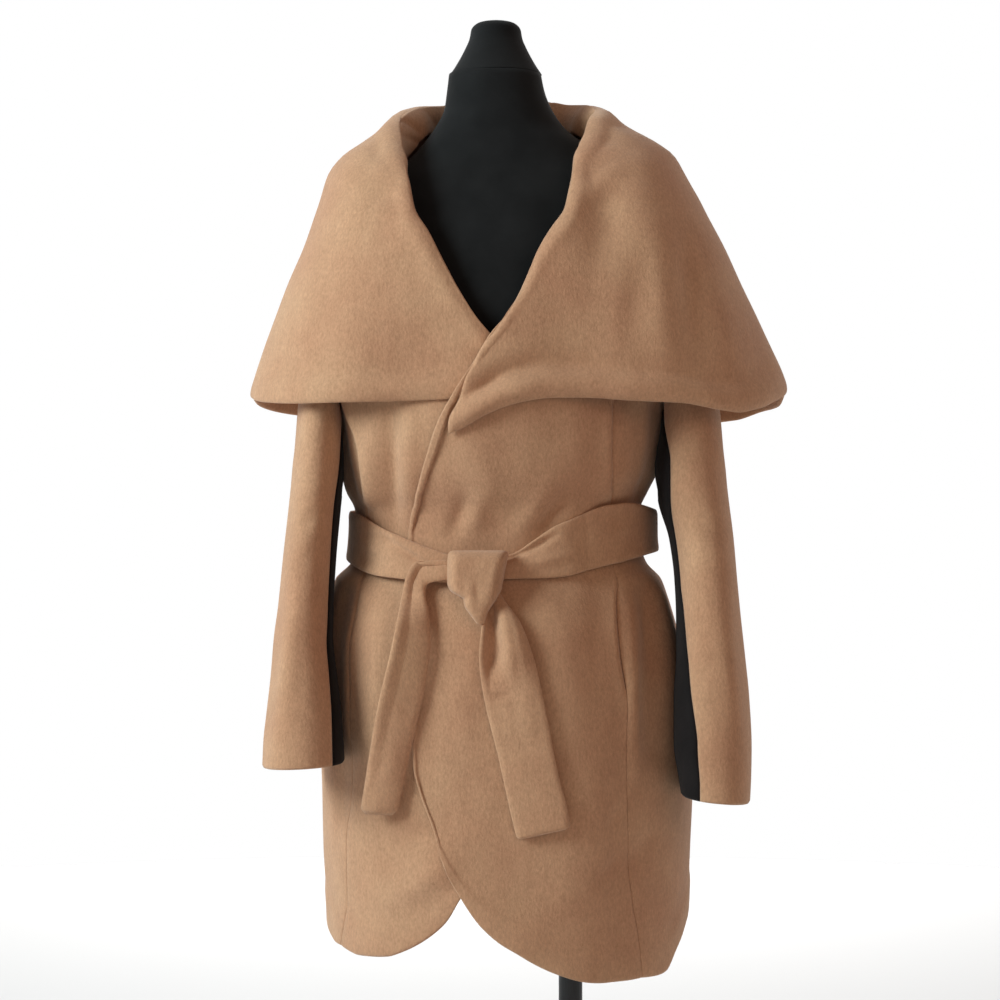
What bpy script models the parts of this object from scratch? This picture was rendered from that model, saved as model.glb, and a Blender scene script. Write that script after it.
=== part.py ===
"""A camel wool wrap coat on a limbless dress form and its stand.

Lengths are metres. Z is up, the coat faces -Y, and the wearer's left is +X. The origin is the
centre of the stand's underside. Angles go round the body in degrees: 0 is the centre front, 90
the wearer's left side, 180 the centre back and -90 the wearer's right side.
"""

import math

import bmesh
import bpy
import numpy as np

WOOL = 0.0025  # one layer of coating wool
COLLAR = 0.006  # the collar, doubled and softly filled
STAND_COLLAR = 0.004  # the collar where it stands round the neck
BELT = 0.0045  # the belt, doubled
BELT_GAP = 0.0026  # between the belt and the gathered cloth under it
GAP = 0.0004  # between two pieces that touch
SEAM = 0.00035  # between two pieces that are sewn edge to edge
BELT_STAND_OFF = 0.011  # further out at the wearer's left side
LAP_GAP = 0.0018  # between the two fronts, which lie loosely on each other
OVER = WOOL + LAP_GAP  # one layer of wool and the gap over it
TUCK = 0.0036  # further room for the end of the right collar under the left front
SQUARE = 2.3  # how square the body's sections are: 2 is an ellipse
MEAN_RADIUS = 0.16  # turns an angle round the body into a length

# How finely the pieces are divided.
PANEL_COLUMNS = 18
SIDE_COLUMNS = 7
WAIST_LEVELS = (0.800, 0.840, 0.867, 0.887, 0.905, 0.925, 0.945, 0.965, 0.985, 1.020)
SKIRT_ROWS = 5
CHEST_ROWS = 4
ARM_ROWS = 5
TOP_ROWS = 3
COLLAR_COLUMNS = 23
COLLAR_ROWS = 10
STAND_COLUMNS = 31
STAND_ROWS = 4
STAND_DROP = 0.0015

BASE_RADIUS = 0.19
BASE_HEIGHT = 0.012
BASE_EDGE = 0.003
POLE_RADIUS = 0.0125
POLE_AT = (0.08, 0.03)
FLANGE_RADIUS = 0.045
FLANGE_HEIGHT = 0.012
TORSO_BOTTOM = 0.60
NECK_TOP = 1.412


def table(names, *rows):
    """Rows of numbers as named columns."""
    columns = zip(*rows)
    return {name: np.array(column, float) for name, column in zip(names.split(), columns)}


# Sections of the body. right, left, front and back are distances from the form's axis.
COAT = table(
    "height right left front back",
    (0.470, 0.166, 0.190, 0.150, 0.128),
    (0.516, 0.170, 0.194, 0.152, 0.130),
    (0.546, 0.171, 0.198, 0.153, 0.131),
    (0.612, 0.175, 0.2005, 0.154, 0.132),
    (0.678, 0.1765, 0.203, 0.155, 0.133),
    (0.762, 0.180, 0.203, 0.155, 0.133),
    (0.824, 0.177, 0.190, 0.151, 0.130),
    (0.866, 0.169, 0.178, 0.137, 0.124),
    (0.887, 0.163, 0.171, 0.126, 0.116),
    (0.905, 0.146, 0.155, 0.121, 0.108),
    (0.935, 0.140, 0.147, 0.120, 0.104),
    (0.962, 0.143, 0.149, 0.124, 0.106),
    (0.980, 0.152, 0.157, 0.132, 0.110),
    (1.001, 0.157, 0.167, 0.140, 0.114),
    (1.043, 0.163, 0.175, 0.146, 0.119),
    (1.100, 0.172, 0.180, 0.148, 0.124),
    (1.150, 0.175, 0.182, 0.146, 0.126),
    (1.200, 0.172, 0.180, 0.136, 0.122),
    (1.250, 0.167, 0.176, 0.119, 0.110),
    (1.285, 0.158, 0.169, 0.099, 0.096),
    (1.308, 0.137, 0.151, 0.084, 0.085),
    (1.323, 0.110, 0.131, 0.075, 0.078),
    (1.340, 0.083, 0.103, 0.066, 0.071),
    (1.355, 0.072, 0.083, 0.060, 0.066),
    (1.370, 0.066, 0.072, 0.057, 0.063),
)
FORM = table(
    "height right left front back",
    (0.600, 0.140, 0.146, 0.112, 0.104),
    (0.606, 0.146, 0.152, 0.118, 0.110),
    (0.700, 0.155, 0.165, 0.126, 0.118),
    (0.790, 0.158, 0.168, 0.126, 0.119),
    (0.870, 0.145, 0.150, 0.112, 0.108),
    (0.935, 0.124, 0.129, 0.103, 0.094),
    (1.000, 0.134, 0.142, 0.118, 0.100),
    (1.080, 0.150, 0.157, 0.134, 0.112),
    (1.150, 0.158, 0.163, 0.136, 0.117),
    (1.220, 0.156, 0.162, 0.120, 0.112),
    (1.270, 0.148, 0.157, 0.096, 0.096),
    (1.296, 0.128, 0.142, 0.080, 0.084),
    (1.321, 0.092, 0.116, 0.066, 0.070),
    (1.340, 0.074, 0.093, 0.060, 0.063),
    (1.355, 0.063, 0.074, 0.055, 0.059),
    (1.375, 0.0525, 0.060, 0.0525, 0.056),
    (1.395, 0.0495, 0.052, 0.050, 0.053),
    (1.412, 0.0475, 0.0485, 0.048, 0.048),
)
CAPE = table(
    "height right left front back",
    (1.030, 0.262, 0.310, 0.156, 0.170),
    (1.056, 0.262, 0.310, 0.160, 0.168),
    (1.083, 0.2535, 0.304, 0.163, 0.163),
    (1.126, 0.239, 0.287, 0.163, 0.156),
    (1.158, 0.2265, 0.273, 0.162, 0.151),
    (1.192, 0.213, 0.2565, 0.158, 0.147),
    (1.230, 0.1965, 0.239, 0.155, 0.151),
    (1.262, 0.186, 0.222, 0.148, 0.147),
    (1.280, 0.1805, 0.213, 0.142, 0.142),
    (1.295, 0.1765, 0.2045, 0.135, 0.136),
    (1.307, 0.1725, 0.198, 0.127, 0.130),
    (1.326, 0.1585, 0.187, 0.108, 0.115),
    (1.339, 0.140, 0.170, 0.094, 0.102),
    (1.354, 0.121, 0.143, 0.083, 0.095),
    (1.371, 0.1045, 0.120, 0.071, 0.088),
    (1.381, 0.091, 0.109, 0.062, 0.083),
    (1.390, 0.077, 0.099, 0.055, 0.079),
)

# Folds of the coat's body: soft ridges (rise above 0) and troughs from one place to another.
FOLDS = table(
    "angle height to_angle to_height width rise",
    (-57, 1.12, -52, 0.96, 0.020, 0.0040),
    (-72, 1.10, -66, 0.97, 0.016, -0.0060),
    (40, 1.05, 46, 0.97, 0.018, 0.0030),
    (62, 1.06, 66, 0.97, 0.016, -0.0045),
    (-8, 1.02, -2, 0.97, 0.018, 0.0030),
    (-48, 0.87, -50, 0.74, 0.018, 0.0040),
    (-60, 0.87, -57, 0.66, 0.016, -0.0040),
    (54, 0.88, 50, 0.72, 0.016, -0.0045),
    (66, 0.88, 62, 0.70, 0.018, 0.0045),
    (14, 0.85, 22, 0.62, 0.024, 0.0030),
    (-24, 0.62, 2, 0.54, 0.022, 0.0035),
    (35, 0.60, 44, 0.63, 0.012, -0.0020),
    (118, 0.88, 122, 0.66, 0.022, 0.0045),
    (150, 0.88, 152, 0.62, 0.024, -0.0040),
    (-118, 0.88, -124, 0.66, 0.022, 0.0045),
    (-150, 0.88, -150, 0.62, 0.024, -0.0040),
    (180, 0.88, 180, 0.64, 0.026, 0.0040),
    (128, 1.06, 134, 0.98, 0.022, 0.0040),
    (-128, 1.06, -134, 0.98, 0.022, 0.0040),
)
# Waves of the cape collar, deepest at its hem.
WAVES = table(
    "angle width rise",
    (-150, 16, 0.006),
    (-122, 13, -0.004),
    (-62, 14, -0.003),
    (-36, 12, 0.003),
    (38, 13, 0.003),
    (66, 12, -0.004),
    (120, 14, 0.005),
    (152, 14, -0.004),
)

# Edges on the coat. x is from the form's axis, seen from the front.
RIGHT_ROLL = table(
    "x height",
    (-0.0025, 1.1316),
    (-0.0178, 1.1505),
    (-0.0346, 1.1763),
    (-0.0515, 1.2075),
    (-0.0664, 1.2376),
    (-0.0801, 1.2605),
    (-0.0860, 1.2882),
    (-0.0915, 1.3129),
    (-0.0975, 1.3363),
    (-0.1014, 1.3592),
)
LEFT_ROLL = table(
    "x height",
    (-0.0428, 1.0351),
    (-0.0427, 1.0400),
    (-0.0413, 1.0493),
    (-0.0359, 1.0650),
    (-0.0286, 1.0875),
    (-0.0178, 1.1062),
    (0.0135, 1.1502),
    (0.0332, 1.1869),
    (0.0461, 1.2201),
    (0.0590, 1.2426),
    (0.0721, 1.2622),
    (0.0772, 1.2830),
    (0.0830, 1.3092),
    (0.0888, 1.3329),
    (0.0937, 1.3518),
    (0.0967, 1.3690),
)
LEFT_FRONT_EDGE = table(
    "x height",
    (-0.0531, 0.6308),
    (-0.0630, 0.6607),
    (-0.0713, 0.6844),
    (-0.0772, 0.7109),
    (-0.0787, 0.7737),
    (-0.0807, 0.8326),
    (-0.0822, 0.8915),
    (-0.0824, 0.9334),
    (-0.0807, 0.9512),
    (-0.0741, 0.9838),
    (-0.0699, 0.9995),
    (-0.0604, 1.0298),
    (-0.0521, 1.0513),
    (-0.0423, 1.0699),
    (-0.0325, 1.0866),
    (-0.0217, 1.1023),
    (-0.0031, 1.1338),
    (0.0120, 1.1500),
)
LEFT_FRONT_HEM = table(
    "x height",
    (-0.0531, 0.6308),
    (-0.0433, 0.6019),
    (-0.0315, 0.5805),
    (-0.0139, 0.5542),
    (0.0057, 0.5362),
    (0.0194, 0.5279),
    (0.0400, 0.5149),
    (0.0606, 0.5050),
    (0.0883, 0.4959),
    (0.1093, 0.4934),
    (0.1306, 0.4932),
    (0.1472, 0.4939),
)
RIGHT_FRONT_EDGE = table(
    "x height",
    (0.0300, 0.6500),
    (0.0560, 0.7000),
    (0.0700, 0.7600),
    (0.0740, 0.8300),
    (0.0600, 0.9000),
    (0.0560, 0.9400),
    (0.0550, 1.0000),
    (0.0430, 1.0500),
    (0.0250, 1.0900),
    (0.0000, 1.1200),
)
RIGHT_FRONT_HEM = table(
    "x height",
    (0.0300, 0.6500),
    (-0.0050, 0.6150),
    (-0.0315, 0.5805),
    (-0.0473, 0.5545),
    (-0.0711, 0.5341),
    (-0.0890, 0.5239),
    (-0.1052, 0.5174),
    (-0.1217, 0.5154),
    (-0.1353, 0.5146),
    (-0.1417, 0.5158),
    (-0.1538, 0.5198),
)
# Seams between front and side panel, by angle, up to the armhole.
LEFT_PRINCESS = table(
    "height angle",
    (0.4939, 45.2),
    (0.5320, 42.4),
    (0.5677, 39.3),
    (0.6095, 37.6),
    (0.6932, 36.2),
    (0.7847, 36.8),
    (0.8392, 38.4),
    (0.8808, 41.8),
    (0.9060, 46.7),
    (0.9400, 49.0),
    (0.9674, 47.0),
    (0.9922, 42.0),
    (1.0302, 38.7),
    (1.0595, 38.0),
    (1.1300, 48.0),
    (1.2100, 65.0),
)
RIGHT_PRINCESS = table(
    "height angle",
    (0.5198, -60.9),
    (0.5680, -55.6),
    (0.6486, -54.0),
    (0.6808, -51.5),
    (0.7702, -50.5),
    (0.8175, -51.4),
    (0.8705, -50.0),
    (0.8946, -53.0),
    (0.9520, -59.0),
    (0.9890, -52.0),
    (1.0300, -53.3),
    (1.0670, -59.1),
    (1.1300, -63.0),
    (1.2100, -65.0),
)
LEFT_SIDE_HEM = table(
    "angle height",
    (45.2, 0.4939),
    (52.7, 0.4929),
    (58.3, 0.4944),
    (64.7, 0.5107),
    (70.4, 0.5234),
    (75.0, 0.5360),
    (90.0, 0.5500),
    (115.0, 0.5560),
)
RIGHT_SIDE_HEM = table(
    "angle height",
    (-115.0, 0.5560),
    (-90.0, 0.5400),
    (-80.0, 0.5310),
    (-71.1, 0.5248),
    (-65.5, 0.5204),
    (-60.9, 0.5198),
)
BACK_SEAM = 115.0
BACK_HEM = 0.556
NECK_SEAM = 1.350
ARMHOLE_HEIGHT = 1.222
ARMHOLE_HALF_HEIGHT = 0.072
ARMHOLE_HALF_ANGLE = 25.0

# The collar's roll from the front of the shoulder to the centre back, and its hem.
ROLL_BACK = table(
    "angle height", (64, 1.366), (90, 1.379), (120, 1.388), (150, 1.391), (180, 1.392)
)
RIGHT_COLLAR_HEM = table(
    "angle height",
    (-7, 1.0700),
    (-17, 1.0683),
    (-30, 1.0669),
    (-45, 1.0663),
    (-62, 1.0700),
    (-90, 1.0790),
    (-115, 1.0720),
    (-145, 1.0640),
    (-180, 1.0620),
)
LEFT_COLLAR_HEM = table(
    "angle height",
    (-13.3, 1.0351),
    (-11.9, 1.0376),
    (-10.0, 1.0420),
    (-7.6, 1.0498),
    (-5.6, 1.0552),
    (-1.8, 1.0626),
    (2.1, 1.0675),
    (6.1, 1.0701),
    (12.1, 1.0708),
    (22.0, 1.0680),
    (38.0, 1.0655),
    (50.0, 1.0610),
    (64.0, 1.0665),
    (90.0, 1.0790),
    (115.0, 1.0720),
    (145.0, 1.0640),
    (180.0, 1.0620),
)
# Foot of the collar's stand, on the coat's neck edge, for both sides.
STAND_FOOT = table(
    "angle height",
    (50, 1.3070),
    (56, 1.3170),
    (62, 1.3290),
    (75, 1.3440),
    (86, 1.3522),
    (180, 1.3522),
)
STAND_FROM = 1.320  # height on the roll where the stand begins
STAND_LIFT = 0.0045  # of its foot, over the fronts
FRONT_EDGE_TOP = 1.115  # where the collar's front side ends on the roll

# Sleeves from armhole to cuff. outer and inner are the sides away from the body and next to it,
# y and deep the middle and half depth, seam the angle of the dark under-sleeve's front edge.
RIGHT_SLEEVE = table(
    "outer_x outer_z inner_x inner_z y deep seam",
    (0.1640, 1.2880, 0.1790, 1.1480, 0.000, 0.060, 150),
    (0.1740, 1.2550, 0.1750, 1.1330, -0.003, 0.061, 150),
    (0.1820, 1.2100, 0.1660, 1.1150, -0.010, 0.064, 150),
    (0.1920, 1.1500, 0.1570, 1.0900, -0.022, 0.066, 150),
    (0.1990, 1.0750, 0.1530, 1.0550, -0.036, 0.064, 152),
    (0.2028, 1.0180, 0.1540, 1.0080, -0.047, 0.062, 150),
    (0.2072, 0.9669, 0.1580, 0.9620, -0.057, 0.061, 146),
    (0.2125, 0.9121, 0.1620, 0.9100, -0.068, 0.059, 150),
    (0.2168, 0.8628, 0.1640, 0.8620, -0.078, 0.057, 152),
    (0.2203, 0.8328, 0.1640, 0.8328, -0.086, 0.056, 150),
    (0.2229, 0.7938, 0.1590, 0.7938, -0.095, 0.055, 146),
    (0.2262, 0.7600, 0.1545, 0.7600, -0.102, 0.054, 143),
    (0.2290, 0.7300, 0.1520, 0.7310, -0.108, 0.054, 141),
    (0.2297, 0.7050, 0.1506, 0.7090, -0.112, 0.054, 140),
)
LEFT_SLEEVE = table(
    "outer_x outer_z inner_x inner_z y deep seam",
    (0.1775, 1.2900, 0.1860, 1.1480, 0.000, 0.062, 150),
    (0.1950, 1.2550, 0.1800, 1.1330, -0.003, 0.064, 150),
    (0.2080, 1.2050, 0.1730, 1.1150, -0.010, 0.066, 150),
    (0.2180, 1.1450, 0.1700, 1.0900, -0.020, 0.066, 152),
    (0.2285, 1.0750, 0.1690, 1.0550, -0.034, 0.064, 150),
    (0.2329, 1.0161, 0.1640, 1.0100, -0.046, 0.062, 128),
    (0.2365, 0.9741, 0.1680, 0.9700, -0.056, 0.060, 136),
    (0.2411, 0.9300, 0.1790, 0.9300, -0.066, 0.058, 150),
    (0.2437, 0.8900, 0.1835, 0.8900, -0.076, 0.056, 152),
    (0.2462, 0.8564, 0.1845, 0.8564, -0.085, 0.055, 146),
    (0.2500, 0.8150, 0.1840, 0.8150, -0.094, 0.054, 138),
    (0.2535, 0.7750, 0.1812, 0.7750, -0.101, 0.054, 128),
    (0.2554, 0.7290, 0.1805, 0.7290, -0.107, 0.054, 119),
    (0.2545, 0.6950, 0.1850, 0.6950, -0.110, 0.053, 121),
    (0.2531, 0.6700, 0.1877, 0.6760, -0.112, 0.052, 124),
)
UNDER_BACK = 222  # angle of the dark under-sleeve's back edge

BELT_EDGES = table(
    "angle top bottom",
    (-180.0, 0.9620, 0.9080),
    (-95.0, 0.9600, 0.9060),
    (-64.0, 0.9564, 0.8985),
    (-50.0, 0.9460, 0.8924),
    (-42.0, 0.9385, 0.8890),
    (-33.7, 0.9299, 0.8875),
    (-25.6, 0.9219, 0.8855),
    (-17.9, 0.9155, 0.8835),
    (-7.0, 0.9125, 0.8840),
    (3.6, 0.9151, 0.8880),
    (14.1, 0.9312, 0.8885),
    (22.4, 0.9471, 0.8900),
    (33.2, 0.9580, 0.8975),
    (43.7, 0.9695, 0.9025),
    (53.2, 0.9725, 0.9070),
    (68.0, 0.9700, 0.9100),
    (90.0, 0.9660, 0.9110),
    (180.0, 0.9620, 0.9080),
)
# The tied knot, and the tails that hang from it. lift is a tail's height above the coat. cup and
# far are how far its left and right rims stand out from the hollow between them.
KNOT = table(
    "height left_x right_x deep",
    (0.9190, -0.0405, 0.0105, 0.010),
    (0.9165, -0.0431, 0.0120, 0.017),
    (0.9115, -0.0440, 0.0111, 0.023),
    (0.8998, -0.0444, 0.0086, 0.027),
    (0.8890, -0.0442, 0.0065, 0.028),
    (0.8822, -0.0416, 0.0052, 0.027),
    (0.8783, -0.0353, 0.0028, 0.026),
    (0.8740, -0.0288, 0.0006, 0.025),
    (0.8666, -0.0272, -0.0045, 0.022),
    (0.8588, -0.0216, -0.0089, 0.017),
    (0.8490, -0.0143, -0.0116, 0.008),
)
KNOT_LIFT = 0.0150
RIGHT_TAIL = table(
    "left_x left_z right_x right_z lift cup far",
    (-0.0460, 0.9096, -0.0460, 0.8836, 0.0080, 0.002, 0.000),
    (-0.0561, 0.9087, -0.0532, 0.8821, 0.0080, 0.004, 0.000),
    (-0.0647, 0.9067, -0.0591, 0.8806, 0.0080, 0.006, 0.000),
    (-0.0712, 0.9003, -0.0631, 0.8777, 0.0080, 0.007, 0.000),
    (-0.0763, 0.8920, -0.0645, 0.8737, 0.0080, 0.007, 0.000),
    (-0.0802, 0.8831, -0.0640, 0.8678, 0.0080, 0.007, 0.000),
    (-0.0822, 0.8748, -0.0621, 0.8600, 0.0066, 0.007, 0.000),
    (-0.0851, 0.8635, -0.0606, 0.8502, 0.0050, 0.006, 0.000),
    (-0.0883, 0.8488, -0.0601, 0.8384, 0.0038, 0.005, 0.000),
    (-0.0912, 0.8330, -0.0590, 0.8270, 0.0030, 0.004, 0.000),
    (-0.0974, 0.8050, -0.0622, 0.8030, 0.0024, 0.002, 0.000),
    (-0.1043, 0.7782, -0.0662, 0.7782, 0.0020, 0.001, 0.000),
    (-0.1100, 0.7500, -0.0728, 0.7500, 0.0020, 0.000, 0.000),
    (-0.1160, 0.7169, -0.0798, 0.7169, 0.0020, 0.000, 0.000),
    (-0.1262, 0.6610, -0.0907, 0.6600, 0.0020, 0.000, 0.000),
)
LEFT_TAIL = table(
    "left_x left_z right_x right_z lift cup far",
    (-0.0110, 0.8790, 0.0010, 0.8790, 0.0020, 0.000, 0.000),
    (-0.0100, 0.8700, 0.0080, 0.8700, 0.0020, 0.000, 0.001),
    (-0.0096, 0.8607, 0.0145, 0.8607, 0.0020, 0.000, 0.003),
    (-0.0109, 0.8477, 0.0243, 0.8477, 0.0020, 0.006, 0.006),
    (-0.0124, 0.8330, 0.0312, 0.8330, 0.0020, 0.008, 0.007),
    (-0.0139, 0.8183, 0.0365, 0.8183, 0.0020, 0.007, 0.006),
    (-0.0133, 0.8027, 0.0409, 0.8027, 0.0020, 0.004, 0.004),
    (-0.0106, 0.7821, 0.0453, 0.7821, 0.0020, 0.001, 0.001),
    (-0.0054, 0.7576, 0.0505, 0.7576, 0.0020, 0.000, 0.000),
    (0.0040, 0.7200, 0.0570, 0.7200, 0.0020, 0.000, 0.000),
    (0.0105, 0.6900, 0.0630, 0.6930, 0.0020, 0.000, 0.000),
    (0.0165, 0.6620, 0.0690, 0.6700, 0.0020, 0.000, 0.000),
    (0.0225, 0.6380, 0.0722, 0.6500, 0.0020, 0.000, 0.000),
)

NECK_CAP = table(
    "height radius",
    (1.4124, 0.0477),
    (1.4220, 0.0415),
    (1.4365, 0.0335),
    (1.4500, 0.0276),
    (1.4600, 0.0255),
    (1.4660, 0.0190),
    (1.4680, 0.0105),
)

# Colour and roughness of each material.
MATERIALS = {
    "camel_wool": ((0.40, 0.22, 0.13, 1), 0.9),
    "black_knit": ((0.010, 0.009, 0.009, 1), 0.9),
    "black_jersey": ((0.014, 0.014, 0.014, 1), 0.8),
    "dark_metal": ((0.03, 0.03, 0.03, 1), 0.4),
}


def smooth(at, known, values):
    """A monotone cubic through the known values, held beyond their ends."""
    at = np.clip(at, known[0], known[-1])
    step = np.diff(known)
    slope = np.diff(values) / step
    turn = slope[:-1] * slope[1:]
    both = slope[:-1] + slope[1:]
    inner = np.where(turn > 0, 2 * turn / np.where(both == 0, 1, both), 0)
    tangent = np.concatenate([slope[:1], inner, slope[-1:]])
    i = np.clip(np.searchsorted(known, at, side="right") - 1, 0, len(step) - 1)
    t = (at - known[i]) / step[i]
    start = values[i] * (1 + 2 * t) * (1 - t) ** 2 + tangent[i] * step[i] * t * (1 - t) ** 2
    end = values[i + 1] * t * t * (3 - 2 * t) + tangent[i + 1] * step[i] * t * t * (t - 1)
    return start + end


def ramp(at, start, end):
    """0 at start, 1 at end, with soft ends."""
    t = np.clip((at - start) / (end - start), 0, 1)
    return t * t * (3 - 2 * t)


def window(at, start, full, hold, end):
    """0 outside start to end, 1 between full and hold."""
    return ramp(at, start, full) * (1 - ramp(at, hold, end))


def section_at(section, height):
    """The section's middle in X, half width, front depth and back depth at a height."""
    names = ("right", "left", "front", "back")
    right, left, front, back = [smooth(height, section["height"], section[name]) for name in names]
    return (left - right) / 2, (left + right) / 2, front, back


def on_surface(section, angle, height):
    """Points on the surface that a section table makes."""
    middle, half, front, back = section_at(section, height)
    turn = np.radians(angle)
    across, along = np.sin(turn), np.cos(turn)
    reach = (np.abs(across) ** SQUARE + np.abs(along) ** SQUARE) ** (-1 / SQUARE)
    x = middle + half * reach * across
    y = -np.where(along > 0, front, back) * reach * along
    return np.stack([x, y, height + 0 * x], -1)


def outward(section, angle, height):
    """The surface's unit normals."""
    turn, rise = 0.05, 0.0005
    around = on_surface(section, angle + turn, height) - on_surface(section, angle - turn, height)
    upward = on_surface(section, angle, height + rise) - on_surface(section, angle, height - rise)
    return unit(np.cross(around, upward))


def unit(vectors):
    return vectors / np.linalg.norm(vectors, axis=-1, keepdims=True)


def angle_at(section, x, height):
    """The angle on the front half where the surface has this x."""
    middle, half, _, _ = section_at(section, height)
    across = np.clip((x - middle) / half, -1, 1)
    along = (1 - np.abs(across) ** SQUARE) ** (1 / SQUARE)
    return np.degrees(np.arctan2(across, along))


def push_clear(points, gap):
    """Points nearer to the coat's outside than gap are moved straight out from its axis."""
    x, y, height = points[..., 0], points[..., 1], points[..., 2]
    middle, half, front, back = section_at(COAT, height)
    across, along = (x - middle) / half, y / np.where(y < 0, front, back)
    ratio = np.maximum((np.abs(across) ** SQUARE + np.abs(along) ** SQUARE) ** (1 / SQUARE), 1e-6)
    angle = np.degrees(np.arctan2(across, -along))
    reach = np.hypot(x - middle, y) / ratio
    folds = np.maximum(relief(angle, height), 0)
    wanted = 1 + (gap + coat_outside(angle, height) + folds) / reach
    grow = np.maximum(wanted / ratio, 1)
    moved = points.copy()
    moved[..., 0] = middle + (x - middle) * grow
    moved[..., 1] = y * grow
    return moved


def relief(angle, height):
    """The coat's folds: how far the cloth stands out of its sections."""
    total = 0 * angle
    for start_a, start_z, end_a, end_z, width, rise in zip(*FOLDS.values()):
        across = (np.mod(angle - start_a + 180, 360) - 180) * math.radians(1) * MEAN_RADIUS
        along = height - start_z
        run = math.radians(end_a - start_a) * MEAN_RADIUS
        drop = end_z - start_z
        t = np.clip((across * run + along * drop) / (run * run + drop * drop), 0, 1)
        apart = np.hypot(across - t * run, along - t * drop)
        total = total + rise * np.exp(-((apart / width) ** 2))
    return total * (1 - 0.8 * window(height, 0.870, 0.895, 0.960, 0.985))


def lap_lift(angle, height):
    """How far the left front's inside is above the right front's inside."""
    over_front = OVER * (1 - ramp(angle, 24, 35))
    over_collar = TUCK * (1 - ramp(angle, 6, 22)) * window(height, 1.01, 1.045, 1.15, 1.19)
    return over_front + over_collar


def coat_outside(angle, height):
    """How far the coat's outermost layer is above the sections."""
    lapped = window(angle, -56, -38, 60, 80)
    return WOOL + lap_lift(angle, height) * lapped


def on_coat(angle, height, lift):
    """Points on the coat's body, lifted along its normals."""
    rise = (lift + relief(angle, height))[..., None]
    return on_surface(COAT, angle, height) + outward(COAT, angle, height) * rise


def along_curve(points, count):
    """A polyline of (angle, height) resampled to even steps of length."""
    points = np.array(points, float)
    scaled = points * (math.radians(1) * MEAN_RADIUS, 1)
    length = np.concatenate([[0], np.cumsum(np.linalg.norm(np.diff(scaled, axis=0), axis=1))])
    at = np.linspace(0, length[-1], count)
    return np.stack([np.interp(at, length, points[:, 0]), np.interp(at, length, points[:, 1])], 1)


def by_levels(points, top_rows):
    """A side of a panel with rows at the waist's levels, so that they run level round it."""
    low = points[points[:, 1] < WAIST_LEVELS[0]]
    high = points[points[:, 1] > WAIST_LEVELS[-1]]
    order = np.argsort(points[:, 1], kind="stable")
    angles = np.interp(WAIST_LEVELS, points[order, 1], points[order, 0])
    waist = np.stack([angles, WAIST_LEVELS], 1)
    skirt = along_curve(np.concatenate([low, waist[:1]]), SKIRT_ROWS)
    chest = along_curve(np.concatenate([waist[-1:], high]), top_rows)
    return np.concatenate([skirt[:-1], waist, chest[1:]])


def dense(section, edge):
    """A table of x and height as a dense list of (angle, height) on the front."""
    rows = np.linspace(0, len(edge["x"]) - 1, 60)
    index = np.arange(len(edge["x"]), dtype=float)
    x = smooth(rows, index, edge["x"])
    height = smooth(rows, index, edge["height"])
    return np.stack([angle_at(section, x, height), height], 1)


def by_angle(edge):
    """A table of angle and height as a dense list of (angle, height)."""
    angles = np.linspace(edge["angle"][0], edge["angle"][-1], 60)
    order = np.argsort(edge["angle"])
    height = smooth(angles, edge["angle"][order], edge["height"][order])
    return np.stack([angles, height], 1)


def seam_line(seam, foot, side):
    """A seam from its foot up to the armhole, moved by half the seam's gap to one side."""
    heights = np.linspace(foot, seam["height"][-1], 50)
    angles = smooth(heights, seam["height"], seam["angle"])
    return np.stack([angles + side * math.degrees(SEAM / 2 / MEAN_RADIUS), heights], 1)


def armhole(side, start, end, grow=1.0):
    """Part of an armhole: -90 is the underarm, 0 its front and 90 the shoulder."""
    turn = np.radians(np.linspace(start, end, 24))
    angle = side * (90 - ARMHOLE_HALF_ANGLE * grow * np.cos(turn))
    return np.stack([angle, ARMHOLE_HEIGHT + ARMHOLE_HALF_HEIGHT * grow * np.sin(turn)], 1)


def coons(bottom, top, left, right):
    """A grid of (angle, height) from its four edges. left and right run from bottom to top."""
    u = np.linspace(0, 1, len(bottom))[:, None, None]
    v = np.linspace(0, 1, len(left))[None, :, None]
    ruled = bottom[:, None] * (1 - v) + top[:, None] * v + left[None] * (1 - u) + right[None] * u
    low = bottom[0] * (1 - u) + bottom[-1] * u
    high = top[0] * (1 - u) + top[-1] * u
    return ruled - low * (1 - v) - high * v


def grid_normals(points):
    """Unit normals of a grid of points."""
    first, second = np.gradient(points, axis=0), np.gradient(points, axis=1)
    return unit(np.cross(first, second))


def material(name):
    found = bpy.data.materials.get(name)
    if found:
        return found
    made = bpy.data.materials.new(name)
    made.use_nodes = True
    shader = made.node_tree.nodes["Principled BSDF"]
    shader.inputs["Base Color"].default_value = MATERIALS[name][0]
    shader.inputs["Roughness"].default_value = MATERIALS[name][1]
    return made


def solid(name, material_name, vertices, faces):
    """A closed mesh object whose faces point out."""
    mesh = bpy.data.meshes.new(name)
    mesh.from_pydata([tuple(map(float, v)) for v in vertices], [], faces)
    shape = bmesh.new()
    shape.from_mesh(mesh)
    bmesh.ops.recalc_face_normals(shape, faces=shape.faces)
    bmesh.ops.triangulate(shape, faces=shape.faces)
    shape.to_mesh(mesh)
    shape.free()
    mesh.materials.append(material(material_name))
    made = bpy.data.objects.new(name, mesh)
    bpy.context.collection.objects.link(made)
    return made


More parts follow.
